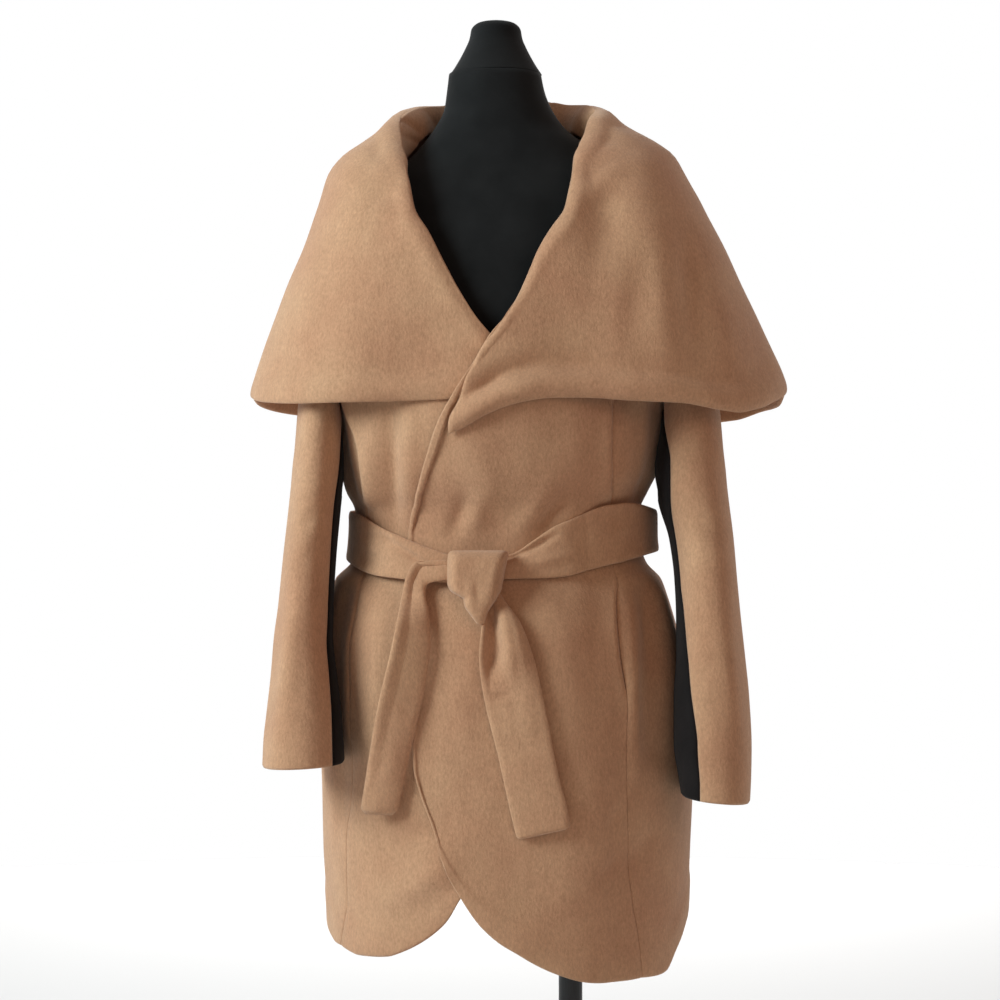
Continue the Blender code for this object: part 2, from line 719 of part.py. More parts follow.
def wall(name, material_name, inner, outer, ring=False):
    """A wall between two grids. A ring closes on itself along its first axis."""
    across, along = inner.shape[:2]
    vertices = np.concatenate([inner.reshape(-1, 3), outer.reshape(-1, 3)])
    far = across * along
    last = across if ring else across - 1
    faces = []
    for i in range(last):
        here, there = i * along, (i + 1) % across * along
        for j in range(along - 1):
            quad = (here + j, there + j, there + j + 1, here + j + 1)
            faces.append(tuple(far + k for k in quad))
            faces.append(quad[::-1])
        for j in (0, along - 1):
            faces.append((here + j, there + j, far + there + j, far + here + j))
    if not ring:
        for here in (0, (across - 1) * along):
            for j in range(along - 1):
                faces.append((here + j, here + j + 1, far + here + j + 1, far + here + j))
    return solid(name, material_name, vertices, faces)


def tube(name, material_name, rings):
    """A closed body through rings of points, with flat ends."""
    count, around = rings.shape[:2]
    faces = [tuple(range(around)), tuple((count - 1) * around + i for i in range(around))]
    for k in range(count - 1):
        for i in range(around):
            j = (i + 1) % around
            faces.append((k * around + i, k * around + j, (k + 1) * around + j, (k + 1) * around + i))
    return solid(name, material_name, rings.reshape(-1, 3), faces)


def round_rings(heights, radii, centre, count):
    """Rings of points round an upright axis."""
    turn = np.linspace(0, 2 * math.pi, count, endpoint=False)
    rings = []
    for height, radius in zip(heights, radii):
        x = centre[0] + radius * np.cos(turn)
        y = centre[1] + radius * np.sin(turn)
        rings.append(np.stack([x, y, height + 0 * x], -1))
    return np.array(rings)


def panel(name, edges, lift):
    """One layer of wool on the coat's body, inside its four edges."""
    grid = coons(*edges)
    angle, height = grid[..., 0], grid[..., 1]
    inner = on_coat(angle, height, lift(angle, height))
    outer = on_coat(angle, height, lift(angle, height) + WOOL)
    return wall(name, "camel_wool", inner, outer)


def flat(angle, height):
    return 0 * angle


def shoulder_side(line, side, facing):
    """The long side of a front or back: its seam, the armhole and the shoulder seam.

    facing is 1 on a front and -1 on the back. The seam has the same rows as the piece beside it.
    """
    arm = armhole(side, 0, 90)
    if facing < 0:
        arm[:, 0] = side * 180 - arm[:, 0]
    top = side * (90 - facing * math.degrees(SEAM / 2 / 0.1))
    arm[-1, 0] = top
    shoulder = np.array([arm[-1], (top, NECK_SEAM)])
    seam = by_levels(line, CHEST_ROWS)
    return np.concatenate([seam, along_curve(arm, ARM_ROWS)[1:], along_curve(shoulder, TOP_ROWS)[1:]])


def back_line(side, foot, facing):
    """The seam between back and side panel, straight up to the armhole."""
    angle = side * (BACK_SEAM + facing * math.degrees(SEAM / 2 / MEAN_RADIUS))
    return np.stack([np.full(30, angle), np.linspace(foot, ARMHOLE_HEIGHT, 30)], 1)


def make_fronts():
    """The two fronts. The left one laps over the right one."""
    for side, name, princess, edge, hem, lift in (
        (1, "front_left", LEFT_PRINCESS, LEFT_FRONT_EDGE, LEFT_FRONT_HEM, lap_lift),
        (-1, "front_right", RIGHT_PRINCESS, RIGHT_FRONT_EDGE, RIGHT_FRONT_HEM, flat),
    ):
        seam = seam_line(princess, hem["height"][-1], -side)
        long_side = shoulder_side(seam, side, 1)
        front_edge = dense(COAT, edge)
        neck = hidden_neck(side, edge["height"][-1])
        edges = (
            along_curve(snap(dense(COAT, hem), long_side[0]), PANEL_COLUMNS),
            along_curve(snap(np.concatenate([front_edge[-1:], neck]), long_side[-1]), PANEL_COLUMNS),
            by_levels(front_edge, CHEST_ROWS + ARM_ROWS + TOP_ROWS - 2),
            long_side,
        )
        panel(name, edges, lift)


def hidden_neck(side, height):
    """The front's neck edge under the collar, from the V's foot to the shoulder seam."""
    roll = LEFT_ROLL if side > 0 else RIGHT_ROLL
    heights = np.linspace(height + 0.03, NECK_SEAM - 0.03, 30)
    under = 0.012 * side
    edge = smooth(heights, roll["height"], roll["x"]) + under
    points = np.stack([angle_at(COAT, edge, heights), heights], 1)
    return np.concatenate([points[:-6], [(side * 90.0, NECK_SEAM)]])


def snap(points, end):
    """The same polyline, with its last point put on end."""
    moved = np.array(points, float)
    moved[-1] = end
    return moved


def make_sides():
    """The panels between the front seams and the back's seams, up to the underarm."""
    for side, name, seam, hem in (
        (1, "side_left", LEFT_PRINCESS, LEFT_SIDE_HEM),
        (-1, "side_right", RIGHT_PRINCESS, RIGHT_SIDE_HEM),
    ):
        bottom = by_angle(hem)
        bottom = bottom if side > 0 else bottom[::-1]
        front = seam_line(seam, bottom[0, 1], side)
        back = back_line(side, bottom[-1, 1], -1)
        bottom[0], bottom[-1] = front[0], back[0]
        under = armhole(side, 0, -180)
        under[0], under[-1] = front[-1], back[-1]
        edges = (
            along_curve(bottom, SIDE_COLUMNS),
            along_curve(under, SIDE_COLUMNS),
            by_levels(front, CHEST_ROWS),
            by_levels(back, CHEST_ROWS),
        )
        panel(name, edges, flat)


def make_back():
    """The back, from one side seam to the other."""
    left = shoulder_side(back_line(1, BACK_HEM, 1), 1, -1)
    right = shoulder_side(back_line(-1, BACK_HEM, 1), -1, -1)
    right[:, 0] += 360
    bottom = np.array([left[0], right[0]])
    top = np.stack([np.linspace(left[-1, 0], right[-1, 0], 30), np.full(30, NECK_SEAM)], 1)
    edges = (along_curve(bottom, PANEL_COLUMNS), along_curve(top, PANEL_COLUMNS), left, right)
    panel("back", edges, flat)


def waves(angle, height):
    """The cape collar's waves, which grow towards its hem."""
    total = 0 * angle
    for centre, width, rise in zip(*WAVES.values()):
        apart = np.mod(angle - centre + 180, 360) - 180
        total = total + rise * np.exp(-((apart / width) ** 2))
    return total * ramp(height, 1.26, 1.06)


def roll_edge(side, roll):
    """The collar's roll, from its front end to the centre back, as (angle, height)."""
    front = dense(CAPE, roll)
    back = by_angle(ROLL_BACK)
    back[:, 0] *= side
    lift = front[-1, 1] - back[0, 1]
    back[:, 1] += lift * (1 - ramp(np.abs(back[:, 0]), 64, 120))
    keep = np.abs(back[:, 0]) > abs(front[-1, 0]) + 4
    return np.concatenate([front, back[keep]])


def collar_lift(side, angle, height):
    """How far above the coat's inside the collar's middle lies where it is pressed on the front."""
    if side > 0:
        return lap_lift(angle, height) + WOOL + 3 * GAP + COLLAR / 2
    return WOOL + 3 * GAP + COLLAR / 4


def collar_points(side):
    """The middle surface of half the collar: its columns run from the front to the centre back.

    Its first side runs from the tip up the roll, so that the rows don't all meet in the tip.
    """
    roll, hem = (LEFT_ROLL, LEFT_COLLAR_HEM) if side > 0 else (RIGHT_ROLL, RIGHT_COLLAR_HEM)
    edge = roll_edge(side, roll)
    bottom = by_angle(hem)
    edge[-1, 0] = bottom[-1, 0] = side * 179.85
    split = np.argmax(edge[:, 1] > FRONT_EDGE_TOP)
    front_side = np.concatenate([bottom[:1], edge[: split + 1]])
    front = along_curve(front_side, COLLAR_ROWS)
    back = along_curve([bottom[-1], edge[-1]], COLLAR_ROWS)
    low, high = along_curve(bottom, COLLAR_COLUMNS), along_curve(edge[split:], COLLAR_COLUMNS)
    grid = coons(low, high, front, back)
    angle, height = grid[..., 0], grid[..., 1]
    rise = waves(angle, height) - COLLAR / 2
    points = on_surface(CAPE, angle, height) + outward(CAPE, angle, height) * rise[..., None]
    return lay_on_front(points, side)


def lay_on_front(points, side):
    """Press the collar's front end on the front below it, and keep the rest clear of the coat."""
    points = push_clear(points, 3 * GAP + COLLAR / 2)
    x, height = points[..., 0], points[..., 2]
    angle = angle_at(COAT, x, height)
    soft_roll = 0.008 * ramp(height, 1.16, 1.26)
    laid = on_coat(angle, height, collar_lift(side, angle, height) + soft_roll)
    start, end = (-0.150, -0.050) if side < 0 else (0.140, 0.020)
    share = ramp(x, start, end) * ramp(height, 1.36, 1.22) * (points[..., 1] < 0)
    near_roll = ramp(np.abs(x), 0.150, 0.095) * ramp(height, 1.36, 1.28) * (points[..., 1] < 0)
    share = np.maximum(share, 0.7 * near_roll * ramp(height, 1.18, 1.24))
    pressed = points.copy()
    pressed[..., 1] = points[..., 1] * (1 - share) + laid[..., 1] * share
    return pressed


def make_collar(side, name):
    """Half of the cape collar, a soft wall from its roll to its hem."""
    points = collar_points(side)
    share = np.linspace(0, 1, COLLAR_ROWS)[None, :]
    from_edge = np.minimum(share, 1 - share) * (COLLAR_ROWS - 1)
    thick = COLLAR * (0.55 + 0.45 * ramp(from_edge, 0, 1.6)) + 0 * points[..., 0]
    if side < 0:
        thick *= 0.5 + 0.5 * ramp(points[..., 0], -0.030, -0.085)
    normal = grid_normals(points) * -side
    half = thick[..., None] / 2
    wall(name, "camel_wool", points - normal * half, points + normal * half)


def polar(points):
    """Angles of points round the form's axis, 0 to 360, 0 at the front."""
    return np.mod(np.degrees(np.arctan2(points[..., 0], -points[..., 1])), 360)


def make_collar_stand():
    """The part of the collar that stands round the back of the neck, inside the roll."""
    rolls = [collar_points(side)[:, -1] for side in (1, -1)]
    roll = np.concatenate([rolls[0], rolls[1][::-1]])
    roll = roll[roll[:, 2] > STAND_FROM]
    turn = polar(roll)
    angle = np.linspace(turn[0], turn[-1], STAND_COLUMNS)
    top = np.stack([np.interp(angle, turn, roll[:, axis]) for axis in range(3)], 1)
    inward = unit(top * (1, 1, 0)) * (COLLAR / 2 + STAND_COLLAR / 2)
    top = top - inward - (0, 0, STAND_DROP)
    from_front = np.minimum(angle, 360 - angle)
    height = smooth(from_front, STAND_FOOT["angle"], STAND_FOOT["height"])
    lift = WOOL / 2 + STAND_LIFT * ramp(from_front, 98, 84)
    foot = on_surface(COAT, angle, height) + outward(COAT, angle, height) * lift[:, None]
    share = np.linspace(0, 1, STAND_ROWS)[None, :, None]
    points = foot[:, None] * (1 - share) + top[:, None] * share
    normal = grid_normals(points)
    half = STAND_COLLAR / 2
    wall("collar_stand", "camel_wool", points - normal * half, points + normal * half)


def sleeve_ring(rows, k, side, turn):
    """Points of one sleeve ring. A turn of 0 is away from the body, 90 is the front."""
    outer = np.array([side * rows["outer_x"][k], rows["outer_z"][k]])
    inner = np.array([side * rows["inner_x"][k], rows["inner_z"][k]])
    middle, reach = (outer + inner) / 2, (outer - inner) / 2
    across, along = np.cos(np.radians(turn)), np.sin(np.radians(turn))
    square = (np.abs(across) ** 2.2 + np.abs(along) ** 2.2) ** (-1 / 2.2)
    x = middle[0] + reach[0] * across * square
    z = middle[1] + reach[1] * across * square
    y = rows["y"][k] - rows["deep"][k] * along * square
    return np.stack([x, y, z], -1)


def sleeve_grid(rows, side, turns):
    """A sleeve's middle surface. turns gives each ring's angles."""
    rings = np.array([sleeve_ring(rows, k, side, turns[k]) for k in range(len(rows["y"]))])
    over_belt = (0.017 if side > 0 else 0.008) * window(rings[..., 2], 0.870, 0.895, 0.975, 1.0)
    return push_clear(rings, LAP_GAP + WOOL / 2 + over_belt)


def sleeve_normals(points, rows, side, turns):
    """Unit normals that face out, the same on both sides of a seam."""
    around = sleeve_grid(rows, side, turns + 1.0) - sleeve_grid(rows, side, turns - 1.0)
    return unit(np.cross(around, np.gradient(points, axis=0))) * side


def make_sleeve(side, name, rows):
    """A camel upper sleeve and the dark under-sleeve that faces the body."""
    count = len(rows["y"])
    gap = math.degrees(SEAM / 2 / 0.045)
    camel = [np.linspace(UNDER_BACK - 360 + gap, rows["seam"][k] - gap, 16) for k in range(count)]
    dark = [np.linspace(rows["seam"][k] + gap, UNDER_BACK - gap, 6) for k in range(count)]
    for piece, cloth, turns in (("sleeve", "camel_wool", camel), ("under_sleeve", "black_knit", dark)):
        turns = np.array(turns)
        points = sleeve_grid(rows, side, turns)
        normal = sleeve_normals(points, rows, side, turns)
        half = WOOL / 2
        wall(f"{piece}_{name}", cloth, points - normal * half, points + normal * half)


def make_belt():
    """The belt round the waist, one band."""
    columns, rows = 52, 4
    angle = np.linspace(-180, 180, columns, endpoint=False)[:, None]
    share = np.linspace(0, 1, rows)[None, :]
    top = smooth(angle, BELT_EDGES["angle"], BELT_EDGES["top"])
    bottom = smooth(angle, BELT_EDGES["angle"], BELT_EDGES["bottom"])
    height = bottom * (1 - share) + top * share
    angle = angle + 0 * height
    stand_off = BELT_STAND_OFF * np.exp(-(((angle - 80) / 24) ** 2))
    lift = coat_outside(angle, height) + BELT_GAP + stand_off
    thick = BELT * (0.6 + 0.4 * ramp(np.minimum(share, 1 - share), 0, 0.3)) + 0 * angle
    inner, outer = on_coat(angle, height, lift), on_coat(angle, height, lift + thick)
    wall("belt_waist", "camel_wool", inner, outer, ring=True)


def make_tail(name, rows):
    """One hanging end of the belt, a strip in front of the coat, hollow between its rims on top."""
    share = np.linspace(0, 1, 8)[None, :]
    x = rows["left_x"][:, None] * (1 - share) + rows["right_x"][:, None] * share
    height = rows["left_z"][:, None] * (1 - share) + rows["right_z"][:, None] * share
    angle = angle_at(COAT, x, height)
    round_edge = ramp(np.minimum(share, 1 - share), 0, 0.2)
    near_rim = rows["cup"][:, None] * ramp(share, 0.34, 0.04)
    far_rim = rows["far"][:, None] * window(share, 0.40, 0.60, 0.75, 1.0)
    lift = coat_outside(angle, height) + rows["lift"][:, None] + near_rim + far_rim
    thick = BELT * (0.6 + 0.4 * round_edge) + 0 * x
    wall(name, "camel_wool", on_coat(angle, height, lift), on_coat(angle, height, lift + thick))


def make_knot():
    """The belt's knot, a soft lump in front of the belt."""
    across = np.linspace(-1, 1, 9)
    rings = []
    for height, left_x, right_x, deep in zip(*KNOT.values()):
        x = (left_x + right_x) / 2 + (right_x - left_x) / 2 * across
        z = height + 0 * x
        angle = angle_at(COAT, x, z)
        back = on_coat(angle, z, KNOT_LIFT + 0 * x)
        front = on_coat(angle, z, KNOT_LIFT + 0.004 + deep * (1 - np.abs(across) ** 3))
        rings.append(np.concatenate([back, front[::-1]]))
    tube("belt_knot", "camel_wool", np.array(rings))


def make_form():
    """The dress form's torso and neck cap."""
    angle = np.linspace(-180, 180, 28, endpoint=False)
    rings = [on_surface(FORM, angle, height + 0 * angle) for height in form_heights()]
    tube("form_torso", "black_jersey", np.array(rings))
    cap = round_rings(NECK_CAP["height"], NECK_CAP["radius"], (0.0015, 0.0), 28)
    tube("form_neck_cap", "black_jersey", cap)


def form_heights():
    low = [TORSO_BOTTOM, 0.606, 0.66, 0.72, 0.79, 0.83, 0.87, 0.90, 0.935, 0.97, 1.00, 1.04, 1.09]
    high = [1.15, 1.20, 1.24, 1.27, 1.285, 1.296, 1.308, 1.321, 1.333, 1.345, 1.355, 1.365, 1.375]
    return low + high + [1.39, NECK_TOP]


def make_stand():
    """A flange under the torso, a pole and a round base."""
    flange_top = TORSO_BOTTOM - GAP
    flange_bottom = flange_top - FLANGE_HEIGHT
    flange = round_rings((flange_bottom, flange_top), (FLANGE_RADIUS, FLANGE_RADIUS), POLE_AT, 32)
    tube("stand_flange", "dark_metal", flange)
    pole = round_rings((BASE_HEIGHT + GAP, flange_bottom - GAP), (POLE_RADIUS, POLE_RADIUS), POLE_AT, 24)
    tube("stand_pole", "dark_metal", pole)
    heights = (0.0, BASE_HEIGHT - BASE_EDGE, BASE_HEIGHT)
    radii = (BASE_RADIUS, BASE_RADIUS, BASE_RADIUS - BASE_EDGE)
    tube("stand_base", "dark_metal", round_rings(heights, radii, (0, 0), 64))


def clear_scene():
    for made in list(bpy.data.objects):
        bpy.data.objects.remove(made, do_unlink=True)


def main():
    clear_scene()
    make_stand()
    make_form()
    make_fronts()
    make_sides()
    make_back()
    make_collar(-1, "collar_right")
    make_collar(1, "collar_left")
    make_collar_stand()
    make_sleeve(-1, "right", RIGHT_SLEEVE)
    make_sleeve(1, "left", LEFT_SLEEVE)
    make_belt()
    make_tail("belt_tail_right", RIGHT_TAIL)
    make_tail("belt_tail_left", LEFT_TAIL)
    make_knot()


main()
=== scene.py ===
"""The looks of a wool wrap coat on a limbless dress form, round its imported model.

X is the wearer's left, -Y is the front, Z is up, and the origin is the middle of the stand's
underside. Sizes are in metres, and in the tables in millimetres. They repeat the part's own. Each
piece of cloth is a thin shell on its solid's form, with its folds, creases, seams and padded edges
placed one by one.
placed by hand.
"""

import math

import bmesh
import bpy
import numpy as np
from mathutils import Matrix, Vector


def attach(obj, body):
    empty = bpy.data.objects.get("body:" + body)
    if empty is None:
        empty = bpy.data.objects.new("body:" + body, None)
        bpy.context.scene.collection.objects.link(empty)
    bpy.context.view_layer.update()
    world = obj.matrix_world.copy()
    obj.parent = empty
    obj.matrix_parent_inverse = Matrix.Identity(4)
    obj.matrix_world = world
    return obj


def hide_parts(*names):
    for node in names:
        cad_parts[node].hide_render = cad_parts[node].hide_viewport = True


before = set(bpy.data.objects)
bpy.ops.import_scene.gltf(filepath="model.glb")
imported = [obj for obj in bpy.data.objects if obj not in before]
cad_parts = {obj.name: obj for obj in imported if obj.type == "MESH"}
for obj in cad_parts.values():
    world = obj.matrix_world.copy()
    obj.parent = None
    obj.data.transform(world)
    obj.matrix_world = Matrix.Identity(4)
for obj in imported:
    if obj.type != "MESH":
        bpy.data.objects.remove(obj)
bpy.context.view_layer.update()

# Walls, and the room between them.
WOOL = 0.0025
COLLAR = 0.006
BELT = 0.0045
STAND_THICK = 0.0050
GAP = 0.0004
COLLAR_GAP = 3 * GAP
BELT_GAP = 0.0026
BELT_STAND_OFF = 0.011
STAND_OFF = 0.0040
LAP_GAP = 0.0018
OVER = WOOL + LAP_GAP
TUCK = 0.0036
# How square the sections of the body and of the sleeves are, and metres along one degree of each.
SQUARE = 2.3
SLEEVE_SQUARE = 2.2
ARC = math.radians(1) * 0.16
SLEEVE_ARC = math.radians(1) * 0.05
# Where seams, openings and ends are, in degrees round the body or the sleeve and as heights.
BACK_SEAM = 115.0
BACK_HEM = 0.556
NECK_SEAM = 1.350
ARMHOLE_HEIGHT = 1.222
ARMHOLE_HALF_HEIGHT = 0.072
ARMHOLE_HALF_ANGLE = 25.0
UNDER_BACK = 222
FRONT_EDGE_TOP = 1.115
TORSO_BOTTOM = 0.60
NECK_TOP = 1.412
STAND_HEIGHT = 0.045
CAP_MIDDLE = 0.0015
# Bands of height, as where each starts, is full, holds and ends.
UNDER_BELT = (0.870, 0.895, 0.960, 0.985)
SLEEVE_BY_BELT = (0.870, 0.895, 0.975, 1.0)
LAPEL_TUCK = (1.01, 1.045, 1.15, 1.19)
LEFT_STEP = (0.965, 0.985, 1.10, 1.16)
RIGHT_STEP = (0.955, 0.975, 1.09, 1.14)
SIDE_SUNK = (0.955, 0.985, 1.08, 1.14)
POCKET_FOLD = (0.770, 0.790, 0.860, 0.890)
POCKET = (0.775, 0.790, 0.865, 0.890)
# Distances from an edge at which a shell has rows, so that its edge is round.
RIM = np.array(
    [0.0, 0.0002, 0.0006, 0.0013, 0.0024, 0.0038, 0.0058, 0.0080, 0.0100, 0.0120, 0.0140, 0.0162, 0.0190]
)
# How far in an edge is rounded.
SEAM_ROUND = 0.0006
HEM_ROUND = 0.0050
ROLL_ROUND = 0.0110
CUFF_ROUND = 0.0030
BELT_ROUND = 0.0060
KNOT_ROUND = 0.0030
TAIL_CORNER = 0.0052
# The steps of the shells' grids, and how many rings, columns, rows and points lines have.
CLOTH_STEP = 0.0050
COLLAR_STEP = 0.0042
STAND_STEP = 0.0022
RINGS = 150
EDGE_POINTS = 60
SEAM_POINTS = 50
BACK_POINTS = 30
NECK_POINTS = 30
ARMHOLE_POINTS = 24
STAND_COLUMNS = 200
CAMEL_COLUMNS, DARK_COLUMNS = 76, 24
BELT_COLUMNS, BELT_ROWS = 360, 34
KNOT_ROWS, KNOT_COLUMNS = 80, 70
TAIL_COLUMNS = 40
TORSO_COLUMNS = 120
CAP_RINGS, CAP_COLUMNS = 60, 96
# How much thicker the cloth is at hems, at the left front's folded edge and in the middle of the
# belt, how deep and wide seams and the folds beside them are, and how far the collar's stand bows.
HEM_PAD = 0.0012
EDGE_PAD = 0.0034
BELT_PAD = 0.0016
TAIL_PAD = 0.0014
SEAM_DEPTH = 0.0010
SEAM_WIDTH = 0.0030
TUCK_WIDTH = 0.0040
STAND_BOW = 0.0040
# Where the collar's hem starts to hang behind the arm, as y, and where its roll nears the neck.
BEHIND_ARM = -0.010
NECK_FROM = 1.290
NECK_TO = 1.330
# For each half of the collar, 1 the wearer's left: how far its roll turns down on the front and by
# the neck, and how far its hem drops behind the arm and at its tip.
COLLAR_TURNS = {1: (0.0040, 0.0015, 0.012, 0.004), -1: (0.0008, 0.0045, 0.0055, 0.0)}
# Where each half is pressed on the front, from and to these x.
PRESSED = {1: (0.140, 0.020), -1: (-0.150, -0.050)}
# The coat's hidden neck edge: how far inside the roll it is, and how far it stays from its ends.
UNDER_ROLL = 0.012
NECK_ENDS = 0.03
# How many rounds of smoothing each gets, and how far the roll is raised by the neck.
COLLAR_EASED = 12
OUT_EASED = 30
RIM_EASED = 220
TAIL_EASED = 24
BELT_EASED = 40
RIM_RAISED = 0.0015
# How much farther out each sleeve is pushed where it passes the belt.
BELT_ROOM = {1: 0.017, -1: 0.008}
# Columns that aren't lengths.
DEGREES = ("angle", "to_angle", "turn", "to_turn", "seam", "spread")


def table(names, *rows):
    """Rows of numbers as named columns. Lengths are given in millimetres."""
    columns = {name: np.array(column, float) for name, column in zip(names.split(), zip(*rows))}
    return {name: column if name in DEGREES else column / 1000 for name, column in columns.items()}


# Sections of the coat, the form and the cape collar: half widths, and depths in front and behind.
COAT = table(
    "height right left front back",
    (470, 166, 190, 150, 128), (516, 170, 194, 152, 130), (546, 171, 198, 153, 131),
    (612, 175, 200.5, 154, 132), (678, 176.5, 203, 155, 133), (762, 180, 203, 155, 133),
    (824, 177, 190, 151, 130), (866, 169, 178, 137, 124), (887, 163, 171, 126, 116),
    (905, 146, 155, 121, 108), (935, 140, 147, 120, 104), (962, 143, 149, 124, 106),
    (980, 152, 157, 132, 110), (1001, 157, 167, 140, 114), (1043, 163, 175, 146, 119),
    (1100, 172, 180, 148, 124), (1150, 175, 182, 146, 126), (1200, 172, 180, 136, 122),
    (1250, 167, 176, 119, 110), (1285, 158, 169, 99, 96), (1308, 137, 151, 84, 85),
    (1323, 110, 131, 75, 78), (1340, 83, 103, 66, 71), (1355, 72, 83, 60, 66), (1370, 66, 72, 57, 63),
)
FORM = table(
    "height right left front back",
    (600, 140, 146, 112, 104), (606, 146, 152, 118, 110), (700, 155, 165, 126, 118),
    (790, 158, 168, 126, 119), (870, 145, 150, 112, 108), (935, 124, 129, 103, 94),
    (1000, 134, 142, 118, 100), (1080, 150, 157, 134, 112), (1150, 158, 163, 136, 117),
    (1220, 156, 162, 120, 112), (1270, 148, 157, 96, 96), (1296, 128, 142, 80, 84), (1321, 92, 116, 66, 70),
    (1340, 74, 93, 60, 63), (1355, 63, 74, 55, 59), (1375, 52.5, 60, 52.5, 56), (1395, 49.5, 52, 50, 53),
    (1412, 47.5, 48.5, 48, 48),
)
CAPE = table(
    "height right left front back",
    (1030, 262, 310, 156, 170), (1056, 262, 310, 160, 168), (1083, 253.5, 304, 163, 163),
    (1126, 239, 287, 163, 156), (1158, 226.5, 273, 162, 151), (1192, 213, 256.5, 158, 147),
    (1230, 196.5, 239, 155, 151), (1262, 186, 222, 148, 147), (1280, 180.5, 213, 142, 142),
    (1295, 176.5, 204.5, 135, 136), (1307, 172.5, 198, 127, 130), (1326, 158.5, 187, 108, 115),
    (1339, 140, 170, 94, 102), (1354, 121, 143, 83, 95), (1371, 104.5, 120, 71, 88),
    (1381, 91, 109, 62, 83), (1390, 77, 99, 55, 79),
)
# The coat's large folds, as lines round the body, and the collar's waves.
FOLDS = table(
    "angle height to_angle to_height width rise",
    (-57, 1120, -52, 960, 20, 4), (-72, 1100, -66, 970, 16, -6), (40, 1050, 46, 970, 18, 3),
    (62, 1060, 66, 970, 16, -4.5), (-8, 1020, -2, 970, 18, 3), (-48, 870, -50, 740, 18, 4),
    (-60, 870, -57, 660, 16, -4), (54, 880, 50, 720, 16, -4.5), (66, 880, 62, 700, 18, 4.5),
    (14, 850, 22, 620, 24, 3), (-24, 620, 2, 540, 22, 3.5), (35, 600, 44, 630, 12, -2),
    (118, 880, 122, 660, 22, 4.5), (150, 880, 152, 620, 24, -4), (-118, 880, -124, 660, 22, 4.5),
    (-150, 880, -150, 620, 24, -4), (180, 880, 180, 640, 26, 4), (128, 1060, 134, 980, 22, 4),
    (-128, 1060, -134, 980, 22, 4),
)
WAVES = table(
    "angle spread rise",
    (-150, 16, 6), (-122, 13, -4), (-62, 14, -3), (-36, 12, 3), (38, 13, 3), (66, 12, -4), (120, 14, 5),
    (152, 14, -4),
)
# Edges and seams, as x and height on the front or as angle and height.
RIGHT_ROLL = table(
    "x height",
    (-2.5, 1131.6), (-17.8, 1150.5), (-34.6, 1176.3), (-51.5, 1207.5), (-66.4, 1237.6), (-80.1, 1260.5),
    (-86, 1288.2), (-91.5, 1312.9), (-97.5, 1336.3), (-101.4, 1359.2),
)
LEFT_ROLL = table(
    "x height",
    (-42.8, 1035.1), (-42.7, 1040), (-41.3, 1049.3), (-35.9, 1065), (-28.6, 1087.5), (-17.8, 1106.2),
    (13.5, 1150.2), (33.2, 1186.9), (46.1, 1220.1), (59, 1242.6), (72.1, 1262.2), (77.2, 1283),
    (83, 1309.2), (88.8, 1332.9), (93.7, 1351.8), (96.7, 1369),
)
LEFT_FRONT_EDGE = table(
    "x height",
    (-53.1, 630.8), (-63, 660.7), (-71.3, 684.4), (-77.2, 710.9), (-78.7, 773.7), (-80.7, 832.6),
    (-82.2, 891.5), (-82.4, 933.4), (-80.7, 951.2), (-74.1, 983.8), (-69.9, 999.5), (-60.4, 1029.8),
    (-52.1, 1051.3), (-42.3, 1069.9), (-32.5, 1086.6), (-21.7, 1102.3), (-3.1, 1133.8), (12, 1150),
)
LEFT_FRONT_HEM = table(
    "x height",
    (-53.1, 630.8), (-43.3, 601.9), (-31.5, 580.5), (-13.9, 554.2), (5.7, 536.2), (19.4, 527.9),
    (40, 514.9), (60.6, 505), (88.3, 495.9), (109.3, 493.4), (130.6, 493.2), (147.2, 493.9),
)
RIGHT_FRONT_EDGE = table(
    "x height",
    (30, 650), (56, 700), (70, 760), (74, 830), (60, 900), (56, 940), (55, 1000), (43, 1050), (25, 1090),
    (0, 1120),
)
RIGHT_FRONT_HEM = table(
    "x height",
    (30, 650), (-5, 615), (-31.5, 580.5), (-47.3, 554.5), (-71.1, 534.1), (-89, 523.9), (-105.2, 517.4),
    (-121.7, 515.4), (-135.3, 514.6), (-141.7, 515.8), (-153.8, 519.8),
)
LEFT_PRINCESS = table(
    "height angle",
    (493.9, 45.2), (532, 42.4), (567.7, 39.3), (609.5, 37.6), (693.2, 36.2), (784.7, 36.8), (839.2, 38.4),
    (880.8, 41.8), (906, 46.7), (940, 49), (967.4, 47), (992.2, 42), (1030.2, 38.7), (1059.5, 38),
    (1130, 48), (1210, 65),
)
RIGHT_PRINCESS = table(
    "height angle",
    (519.8, -60.9), (568, -55.6), (648.6, -54), (680.8, -51.5), (770.2, -50.5), (817.5, -51.4),
    (870.5, -50), (894.6, -53), (952, -59), (989, -52), (1030, -53.3), (1067, -59.1), (1130, -63),
    (1210, -65),
)
LEFT_SIDE_HEM = table(
    "angle height",
    (45.2, 493.9), (52.7, 492.9), (58.3, 494.4), (64.7, 510.7), (70.4, 523.4), (75, 536), (90, 550),
    (115, 556),
)
RIGHT_SIDE_HEM = table(
    "angle height",
    (-115, 556), (-90, 540), (-80, 531), (-71.1, 524.8), (-65.5, 520.4), (-60.9, 519.8),
)
ROLL_BACK = table(
    "angle height",
    (64, 1366), (90, 1379), (120, 1388), (150, 1391), (180, 1392),
)
RIGHT_COLLAR_HEM = table(
    "angle height",
    (-7, 1070), (-17, 1068.3), (-30, 1066.9), (-45, 1066.3), (-62, 1070), (-90, 1079), (-115, 1072),
    (-145, 1064), (-180, 1062),
)
